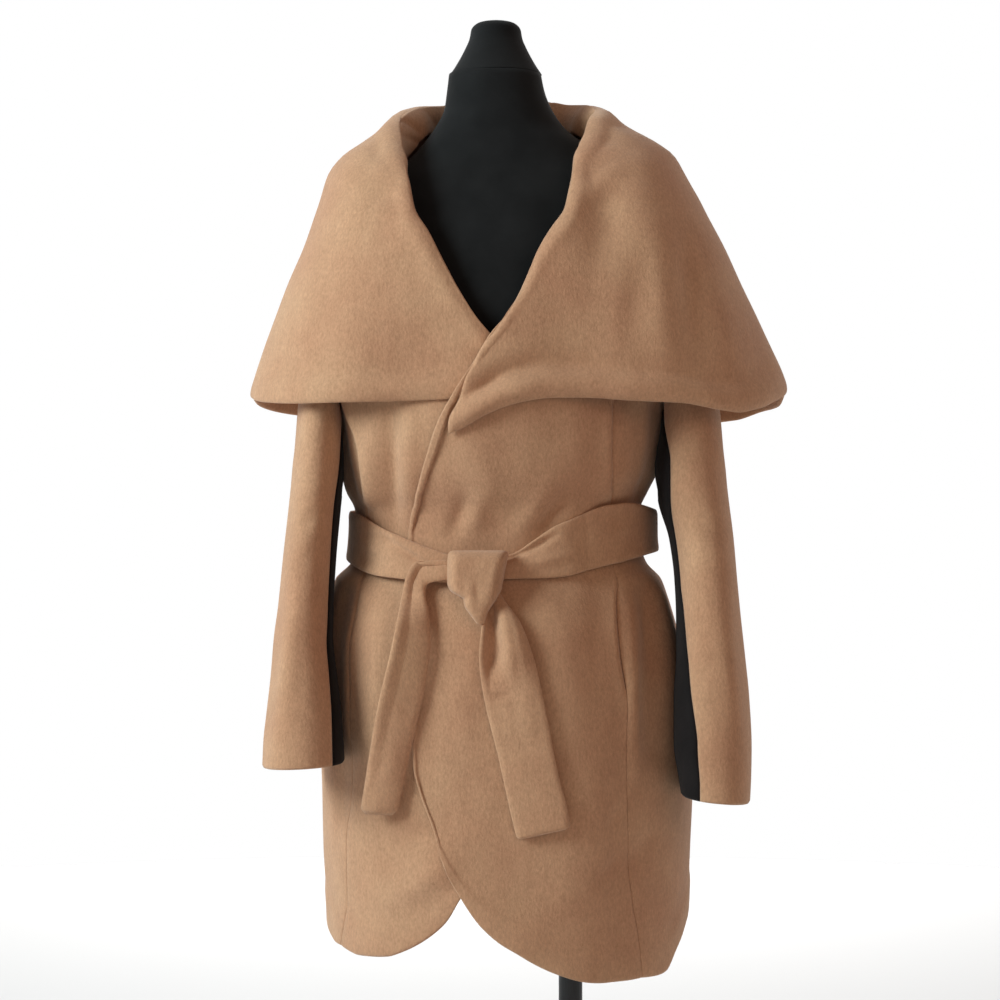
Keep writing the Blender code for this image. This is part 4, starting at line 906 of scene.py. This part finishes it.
def side_shape(height, sides):
    """The side panel sinks behind the front panel above the belt."""
    sunk = -0.0022 * bell(sides[0], 0.022) * window(height, *SIDE_SUNK)
    rise, pad = back_shape(height, sides)
    return sunk + rise, pad


def shoulder_side(line, side, facing):
    """The long side of a front or back: its seam, the armhole and the shoulder seam."""
    arm = armhole(side, 0, 90)
    if facing < 0:
        arm[:, 0] = side * 180 - arm[:, 0]
    arm[-1, 0] = side * 90
    return np.concatenate([line, arm[1:], [(side * 90, NECK_SEAM)]])


def make_fronts():
    """The two fronts, the left one lapped over the right one."""
    for side, name, princess, edge, hem, lift, shape in (
        (1, "front_left", LEFT_PRINCESS, LEFT_FRONT_EDGE, LEFT_FRONT_HEM, lap_lift, left_front_shape),
        (-1, "front_right", RIGHT_PRINCESS, RIGHT_FRONT_EDGE, RIGHT_FRONT_HEM, flat, right_front_shape),
    ):
        long_side = shoulder_side(seam_line(princess, hem["height"][-1]), side, 1)
        front_edge = dense(COAT, edge)
        neck = np.concatenate([front_edge[-1:], hidden_neck(side, edge["height"][-1])])
        edges = (snap(dense(COAT, hem), long_side[0]), snap(neck, long_side[-1]), front_edge, long_side)
        body_panel("wool_" + name, name, edges, lift, "near low", shape)


def make_sides():
    """The side panels, from the princess seams to the back seams."""
    for side, name, seam, hem in (
        (1, "side_left", LEFT_PRINCESS, LEFT_SIDE_HEM),
        (-1, "side_right", RIGHT_PRINCESS, RIGHT_SIDE_HEM),
    ):
        bottom = by_angle(hem)
        bottom = bottom if side > 0 else bottom[::-1]
        front = seam_line(seam, bottom[0, 1])
        back = back_line(side, bottom[-1, 1])
        bottom[0], bottom[-1] = front[0], back[0]
        under = armhole(side, 0, -180)
        under[0], under[-1] = front[-1], back[-1]
        body_panel("wool_" + name, name, (bottom, under, front, back), flat, "low", side_shape)


def make_back():
    """The back, in one piece."""
    left = shoulder_side(back_line(1, BACK_HEM), 1, -1)
    right = shoulder_side(back_line(-1, BACK_HEM), -1, -1)
    right[:, 0] += 360
    bottom, top = np.array([left[0], right[0]]), np.array([left[-1], right[-1]])
    body_panel("wool_back", "back", (bottom, top, left, right), flat, "low", back_shape)


def collar_points(side):
    """The middle surface of half the collar, from the front to the centre back."""
    roll, hem = (LEFT_ROLL, LEFT_COLLAR_HEM) if side > 0 else (RIGHT_ROLL, RIGHT_COLLAR_HEM)
    edge = roll_edge(side, roll)
    bottom = by_angle(hem)
    edge[-1, 0] = bottom[-1, 0] = side * 180
    split = np.argmax(edge[:, 1] > FRONT_EDGE_TOP)
    front = np.concatenate([bottom[:1], edge[: split + 1]])
    back = np.array([bottom[-1], edge[-1]])
    angle, height = np.moveaxis(patch(bottom, edge[split:], front, back, COLLAR_STEP), 2, 0)
    rise = waves(angle, height) - COLLAR / 2
    return lay_on_front(lifted(CAPE, angle, height, rise), side)


def turned_collar(side):
    """Half the collar's middle surface, turned down softly towards its roll."""
    points = collar_points(side)
    points[..., 1] = relax(relax(points[..., 1], COLLAR_EASED).T, COLLAR_EASED).T
    _, _, low, high = from_sides(points)
    low_turn, neck_turn, back_drop, tip_drop = COLLAR_TURNS[side]
    top = points[:, -1:, 2]
    turn = 0.0012 + low_turn * ramp(top, 1.150, 1.200)
    turn = turn + neck_turn * ramp(top, NECK_FROM, NECK_TO)
    drop = turn * (1 - ramp(high, 0.0, 0.024)) ** 2
    points = points - unit(relax(grid_out(points), OUT_EASED)) * drop[..., None]
    points[..., 2] += 0.0055 * ramp(top, 1.300, 1.350) * (1 - ramp(high, 0.0, 0.030))
    rim = points[:, -1]
    by_neck = ramp(rim[:, 2], NECK_FROM, NECK_TO) * ramp(rim[:, 1], 0.030, 0.0)
    eased = (relax(rim, RIM_EASED) - rim + (0, 0, RIM_RAISED)) * by_neck[:, None]
    points = points + eased[:, None] * (1 - ramp(high, 0.0, 0.045))[..., None]
    out, by_hem = side * points[..., 0], 1 - ramp(low, 0.005, 0.110)
    behind = ramp(points[..., 1], BEHIND_ARM, BEHIND_ARM + 0.050)
    drop = back_drop * behind * ramp(out, 0.150, 0.215)
    drop = drop + tip_drop * window(out, 0.180, 0.225, 0.240, 0.265) * (1 - behind)
    points[..., 2] -= (drop - 0.005 * ramp(out, 0.262, 0.292)) * by_hem
    return points


def make_collar(side, name):
    """Half of the cape collar: doubled wool with soft edges."""
    points = turned_collar(side)
    _, far, low, high = from_sides(points)
    rise = crease_lines(points[..., 0], points[..., 2], COLLAR_CREASES) * (points[..., 1] < 0)
    full = (1.0 if side > 0 else 0.55) * ramp(points[..., 1], -0.03, -0.09)
    hem = 0.0034 * bell(low - 0.014, 0.012)
    hollow = -0.0026 * bell(low - 0.036, 0.012)
    roll = 0.0012 * bell(high - 0.013, 0.010)
    rise = rise + full * (hem + hollow) + roll + seam_dip(far)
    points = points + grid_out(points) * rise[..., None]
    under_lap = 1 - ramp(side * points[..., 0], 0.030, 0.085)
    thick = COLLAR * (1 - 0.5 * under_lap) if side < 0 else COLLAR
    piece = cloth("wool_" + name, points, grid_out(points), thick, "wool", "near low high", ROLL_ROUND)
    stand_for(piece, name)


def make_collar_stand():
    """The part of the collar that stands round the neck, inside the roll."""
    rolls = [turned_collar(side)[:, -1] for side in (1, -1)]
    roll = np.concatenate([rolls[0], rolls[1][::-1]])
    from_front = np.minimum(polar(roll), 360 - polar(roll))
    roll = roll[from_front > STAND_FOOT["angle"][0]]
    turn = polar(roll)
    angle = np.linspace(turn[0], turn[-1], STAND_COLUMNS)
    top = np.stack([np.interp(angle, turn, roll[:, axis]) for axis in range(3)], 1)
    from_front = np.minimum(angle, 360 - angle)
    over = ramp(from_front, 40, 80)[:, None]
    inward = unit(top * (1, 1, 0))
    top = top + inward * (0.0050 - 0.0045 * over) + (0, 0, 1) * (0.0088 * over - 0.0080)
    at = smooth(from_front, STAND_FOOT["angle"], STAND_FOOT["turn"])
    at = np.where(angle < 180, at, 360 - at)
    height = smooth(from_front, STAND_FOOT["angle"], STAND_FOOT["height"])
    foot = lifted(FORM, at, height, np.full(at.shape, STAND_OFF))
    foot = top + (foot - top) * (0.10 + 0.90 * ramp(from_front, 38, 58))[:, None]
    share = shares_of(STAND_HEIGHT, STAND_STEP)[None, :, None]
    points = foot[:, None] * (1 - share) + top[:, None] * share
    normal = grid_out(points)
    bow = STAND_BOW * np.sin(np.pi * share)
    creases = crease_lines(angle[:, None] / 1000, points[..., 2], STAND_CREASES)
    points = points - normal * (bow + creases[..., None])
    piece = cloth("wool_collar_stand", points, normal, STAND_THICK, "wool", reach=STAND_THICK / 2)
    stand_for(piece, "collar_stand")


def sleeve_grid(rows, side, turns):
    """A sleeve's middle surface. A turn of 0 is away from the body, 90 is the front."""
    across, along = np.cos(np.radians(turns)), np.sin(np.radians(turns))
    reach = round_reach(across, along, SLEEVE_SQUARE)
    out, back = across * reach, along * reach
    x = side * (rows["outer_x"] * (1 + out) + rows["inner_x"] * (1 - out)) / 2
    z = (rows["outer_z"] * (1 + out) + rows["inner_z"] * (1 - out)) / 2
    rings = np.stack([x, rows["y"] - rows["deep"] * back, z], -1)
    over_belt = BELT_ROOM[side] * window(z, *SLEEVE_BY_BELT)
    return push_clear(rings, LAP_GAP + WOOL / 2 + over_belt)


def sleeve_folds(turns, height):
    """Creases of a sleeve, placed by turn and height."""
    lines = dict(SLEEVE_CREASES)
    for key in ("turn", "to_turn"):
        lines[key] = lines[key] * SLEEVE_ARC
    return crease_lines(from_zero(turns) * SLEEVE_ARC, height, lines)


def make_sleeve(side, name, rows):
    """A camel upper sleeve and the dark under-sleeve that faces the body."""
    rows = read_rows(rows, np.linspace(0, 1, RINGS)[:, None])
    seam = rows["seam"][:, 0]
    camel = np.linspace(UNDER_BACK - 360, seam, CAMEL_COLUMNS, axis=1)
    dark = np.linspace(seam, UNDER_BACK, DARK_COLUMNS, axis=1)
    for piece, finish, slot, turns in (
        ("sleeve", "wool", "camel_wool", camel),
        ("under_sleeve", "knit", "black_knit", dark),
    ):
        points = sleeve_grid(rows, side, turns)
        around = sleeve_grid(rows, side, turns + 1.0) - sleeve_grid(rows, side, turns - 1.0)
        normal = unit(np.cross(around, np.gradient(points, axis=0))) * side
        points = points + normal * sleeve_folds(turns, points[..., 2])[..., None]
        node = f"{piece}_{name}"
        made = cloth("cloth_" + node, points, normal, WOOL, finish, "near far", CUFF_ROUND)
        stand_for(made, node)


def make_belt():
    """The belt round the waist, one band, creased where it is pulled into the knot."""
    angle = np.linspace(-180, 180, BELT_COLUMNS, endpoint=False)[:, None]
    share = close_at_ends(BELT_ROWS)
    top = smooth(angle, BELT_EDGES["angle"], BELT_EDGES["top"])
    bottom = smooth(angle, BELT_EDGES["angle"], BELT_EDGES["bottom"])
    height = bottom * (1 - share) + top * share
    angle = angle + 0 * height
    stand_off = BELT_STAND_OFF * bell(angle - 80, 24)
    lift = coat_outside(angle, height) + BELT_GAP + stand_off + BELT / 2
    points = on_coat(angle, height, lift)
    points = relax(points.swapaxes(0, 1), BELT_EASED).swapaxes(0, 1)
    out = grid_out(points)
    rise = crease_lines(points[..., 0], height, BELT_CREASES) * (points[..., 1] < 0)
    points = points + out * rise[..., None]
    pad = BELT_PAD * np.sin(np.pi * share) + 0 * angle
    piece = cloth("wool_belt_waist", points, out, BELT, "wool", "low high", BELT_ROUND, pad, ring=True)
    stand_for(piece, "belt_waist")


def make_tail(node, rows, corner, tilt):
    """One hanging end of the belt, hollow between its rims at the top and tilted to one side."""
    rows = read_rows(rows, np.linspace(0, 1, RINGS)[:, None])
    share = close_at_ends(TAIL_COLUMNS)
    x = rows["left_x"] * (1 - share) + rows["right_x"] * share
    height = rows["left_z"] * (1 - share) + rows["right_z"] * share
    angle = angle_at(COAT, x, height)
    near_rim = rows["cup"] * ramp(share, corner, 0.02)
    far_rim = rows["far"] * window(share, 0.40, 0.60, 0.75, 1.0)
    lift = coat_outside(angle, height) + rows["lift"] + near_rim + far_rim + BELT / 2
    points = relax(on_coat(angle, height, lift), TAIL_EASED)
    turned = abs(tilt) * (1 - share if tilt > 0 else share) * ramp(height, 0.870, 0.840)
    points[..., 1] -= crease_lines(x, height, TAIL_CREASES) + turned
    points = round_corners(points)
    pad = TAIL_PAD * np.sin(np.pi * share) + 0 * x
    piece = cloth("wool_" + node, points, grid_out(points), BELT, "wool", reach=BELT_ROUND, pad=pad)
    stand_for(piece, node)


def round_corners(points):
    """Draw in the sides near the far end, so that its corners are round."""
    _, far, low, high = from_sides(points)
    short = np.clip(TAIL_CORNER - far, 0, TAIL_CORNER)
    inset = TAIL_CORNER - np.sqrt(TAIL_CORNER ** 2 - short ** 2)
    width = (low + high)[:, :1, None]
    middle = (points[:, :1] + points[:, -1:]) / 2
    shrink = 1 - 2 * inset[..., None] / width
    return middle + (points - middle) * shrink


def make_knot():
    """The belt's knot: the end that wraps over the front, its edges turned back to the belt."""
    rows = read_rows(KNOT, close_at_ends(KNOT_ROWS)[:, None])
    across = np.sin(np.pi / 2 * np.linspace(-1, 1, KNOT_COLUMNS))
    left, right = rows["left_x"], rows["right_x"]
    x = (left + right) / 2 + (right - left) / 2 * across
    height = rows["height"] + 0 * x
    upward = {name: column[::-1] for name, column in KNOT_FACE.items()}
    side = smooth(height, upward["height"], upward["side"])
    front = smooth(height, upward["height"], upward["front"])
    face = np.sqrt(np.maximum(1 - across ** 10, 0)) * (1 - 0.10 * across ** 2)
    y = side + (front - side) * face
    y = y - crease_lines(x, height, KNOT_CREASES) * (1 - np.abs(across) ** 8)
    points = np.stack([x, y, height], -1)
    piece = cloth("wool_belt_knot", points, grid_out(points), BELT, "wool", reach=KNOT_ROUND)
    stand_for(piece, "belt_knot")


def make_form():
    """The dress form's torso and neck cap, smooth under their jersey."""
    angle = np.linspace(-180, 180, TORSO_COLUMNS, endpoint=False)
    foot = TORSO_BOTTOM + np.array([0, 0.0004, 0.0015, 0.0035])
    heights = np.concatenate([foot, np.linspace(TORSO_BOTTOM + 0.006, NECK_TOP, RINGS)])[:, None]
    torso = tube("jersey_torso", "jersey", on_surface(FORM, angle, heights + 0 * angle))
    stand_for(torso, "form_torso")
    rows = read_rows(NECK_CAP, np.linspace(0, 1, CAP_RINGS)[:, None])
    turn = np.linspace(0, 2 * math.pi, CAP_COLUMNS, endpoint=False)
    x = CAP_MIDDLE + rows["radius"] * np.cos(turn)
    rings = np.stack([x, rows["radius"] * np.sin(turn), rows["height"] + 0 * x], -1)
    stand_for(tube("jersey_neck_cap", "jersey", rings), "form_neck_cap")


def node(tree, kind, **values):
    """A shader node with its fields set, and its inputs set or linked."""
    made = tree.nodes.new(kind)
    for key, value in values.items():
        if hasattr(made, key):
            setattr(made, key, value)
        elif isinstance(value, bpy.types.NodeSocket):
            tree.links.new(value, made.inputs[key])
        else:
            made.inputs[key].default_value = value
    return made


def noise(tree, where, scale, detail=2.0, rough=0.5, stretch=(1, 1, 1)):
    """Noise at a scale in waves per metre, stretched along some axes."""
    at = node(tree, "ShaderNodeMapping", Vector=where, Scale=stretch).outputs["Vector"]
    made = node(tree, "ShaderNodeTexNoise", Vector=at, Scale=scale, Detail=detail, Roughness=rough)
    return made.outputs["Fac"]


def ramp_node(tree, fac, low, high, first, second):
    """A colour ramp from one colour to another."""
    made = node(tree, "ShaderNodeValToRGB", Fac=fac)
    for stop, position, colour in zip(made.color_ramp.elements, (low, high), (first, second)):
        stop.position = position
        stop.color = colour
    return made.outputs["Color"]


def multiply(tree, first, second):
    """One colour times another."""
    kind = {"data_type": "RGBA", "blend_type": "MULTIPLY"}
    return node(tree, "ShaderNodeMix", **kind, Factor=1.0, A=first, B=second).outputs["Result"]


def add(tree, first, second, share):
    """One height plus a share of another."""
    made = node(tree, "ShaderNodeMath", operation="MULTIPLY_ADD")
    tree.links.new(second, made.inputs[0])
    made.inputs[1].default_value = share
    tree.links.new(first, made.inputs[2])
    return made.outputs["Value"]


def new_finish(name, **values):
    """A new material's tree, and its shader with values on its inputs."""
    made = bpy.data.materials.new(name)
    made.use_nodes = True
    shader = made.node_tree.nodes["Principled BSDF"]
    for key, value in values.items():
        shader.inputs[key.replace("_", " ")].default_value = value
    return made.node_tree, shader


def own_place(tree):
    """The object's own coordinates."""
    return node(tree, "ShaderNodeTexCoord").outputs["Object"]


def bump(tree, shader, height, strength, distance):
    """Relief on the shader."""
    made = node(tree, "ShaderNodeBump", Height=height, Strength=strength, Distance=distance)
    tree.links.new(made.outputs["Normal"], shader.inputs["Normal"])


def make_wool():
    """Brushed camel wool: a soft nap with fibres, flecks and slow shifts of tone."""
    sheen = {"Sheen_Weight": 0.30, "Sheen_Roughness": 0.55, "Sheen_Tint": SHEEN_TINT}
    tree, shader = new_finish("wool", Roughness=0.92, Specular_IOR_Level=0.18, **sheen)
    where = own_place(tree)
    slow = noise(tree, where, 13.0, 3.0)
    cloud = noise(tree, where, 70.0, 4.0, 0.6, CLOUD_STRETCH)
    fleck = noise(tree, where, 460.0, 4.0, 0.7, NAP_STRETCH)
    fibres = noise(tree, where, 480.0, 4.0, 0.75, NAP_STRETCH)
    base = ramp_node(tree, slow, 0.30, 0.72, WOOL_DARK, WOOL_LIGHT)
    mottle = ramp_node(tree, cloud, 0.30, 0.72, CLOUD_DARK, WHITE)
    specks = ramp_node(tree, fleck, 0.33, 0.67, FLECK_DARK, WHITE)
    colour = multiply(tree, multiply(tree, base, mottle), specks)
    tree.links.new(colour, shader.inputs["Base Color"])
    bump(tree, shader, add(tree, fibres, cloud, 1.2), 0.60, 0.0009)


def make_dark(name, colour, scale, strength):
    """Black knitted cloth: fine ribs with a little fuzz."""
    sheen = {"Sheen_Weight": 0.05, "Sheen_Roughness": 0.5}
    tree, shader = new_finish(name, Roughness=0.85, Specular_IOR_Level=0.12, **sheen)
    where = own_place(tree)
    weave = {"Scale": scale, "Distortion": 1.5, "Detail": 2.0}
    ribs = node(tree, "ShaderNodeTexWave", bands_direction="Z", Vector=where, **weave)
    fuzz = noise(tree, where, 800.0, 3.0)
    slow = noise(tree, where, 25.0, 3.0)
    lighter = tuple(2.0 * c for c in colour[:3]) + (1,)
    shade = ramp_node(tree, slow, 0.3, 0.75, colour, lighter)
    tree.links.new(shade, shader.inputs["Base Color"])
    bump(tree, shader, add(tree, fuzz, ribs.outputs["Fac"], 0.8), strength, 0.0004)


def make_metal():
    """Dark powder-coated steel for the stand."""
    tree, shader = new_finish("metal", Roughness=0.42, Metallic=0.35)
    where = own_place(tree)
    grain = noise(tree, where, 1400.0, 2.0)
    slow = noise(tree, where, 12.0, 3.0)
    shade = ramp_node(tree, slow, 0.3, 0.7, METAL_DARK, METAL_LIGHT)
    tree.links.new(shade, shader.inputs["Base Color"])
    bump(tree, shader, grain, 0.15, 0.0003)


def make_world():
    """A sky that is white behind the coat and darker in front of it."""
    world = bpy.data.worlds.new("studio")
    world.use_nodes = True
    tree = world.node_tree
    view = node(tree, "ShaderNodeTexCoord").outputs["Generated"]
    way = node(tree, "ShaderNodeSeparateXYZ", Vector=view).outputs["Y"]
    level = node(tree, "ShaderNodeMapRange", interpolation_type="SMOOTHSTEP", Value=way)
    level.inputs["From Min"].default_value = SKY_FROM
    level.inputs["From Max"].default_value = SKY_TO
    sky = ramp_node(tree, level.outputs["Result"], 0.0, 1.0, SKY_NEAR, SKY_FAR)
    tree.links.new(sky, tree.nodes["Background"].inputs["Color"])
    bpy.context.scene.world = world


def make_stage():
    """A plain pale floor, with a large soft light on the left, a weak one, and one on the floor."""
    bpy.ops.mesh.primitive_circle_add(vertices=FLOOR_SIDES, radius=FLOOR_RADIUS, fill_type="NGON")
    floor = bpy.context.object
    floor.name = "floor"
    floor.location.z = FLOOR_HEIGHT
    new_finish("floor_pale", Base_Color=FLOOR_PALE, Roughness=0.9)
    floor.data.materials.append(bpy.data.materials["floor_pale"])
    for name, place, aim, size, watts, colour in LIGHTS:
        data = bpy.data.lights.new(name, "AREA")
        data.shape = "DISK"
        data.size = size
        data.energy = watts
        data.color = colour
        lamp = put(name, data)
        lamp.location = place
        lamp.rotation_euler = (Vector(aim) - Vector(place)).to_track_quat("-Z", "Y").to_euler()
    bpy.context.scene.view_settings.view_transform = "Standard"


def make_camera():
    """A level camera in front."""
    data = bpy.data.cameras.new("camera")
    data.lens = CAMERA_LENS
    data.sensor_width = CAMERA_SENSOR
    camera = put("camera", data)
    camera.location = CAMERA_PLACE
    camera.rotation_euler = (math.radians(90), 0, 0)
    bpy.context.scene.camera = camera


def finish_stand():
    """The stand's own solids in dark metal."""
    for name in ("stand_base", "stand_flange", "stand_pole"):
        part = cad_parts[name]
        part.data.materials.clear()
        part.data.materials.append(bpy.data.materials["metal"])


def main():
    """Make every finish and piece, then the stage."""
    make_wool()
    make_dark("knit", KNIT_BLACK, 260.0, 0.25)
    make_dark("jersey", JERSEY_BLACK, 420.0, 0.12)
    make_metal()
    finish_stand()
    make_form()
    make_fronts()
    make_sides()
    make_back()
    make_collar(-1, "collar_right")
    make_collar(1, "collar_left")
    make_collar_stand()
    make_sleeve(-1, "right", RIGHT_SLEEVE)
    make_sleeve(1, "left", LEFT_SLEEVE)
    make_belt()
    make_tail("belt_tail_right", RIGHT_TAIL, 0.34, 0.0190)
    make_tail("belt_tail_left", LEFT_TAIL, 0.16, -0.0035)
    make_knot()
    make_world()
    make_stage()
    make_camera()


main()
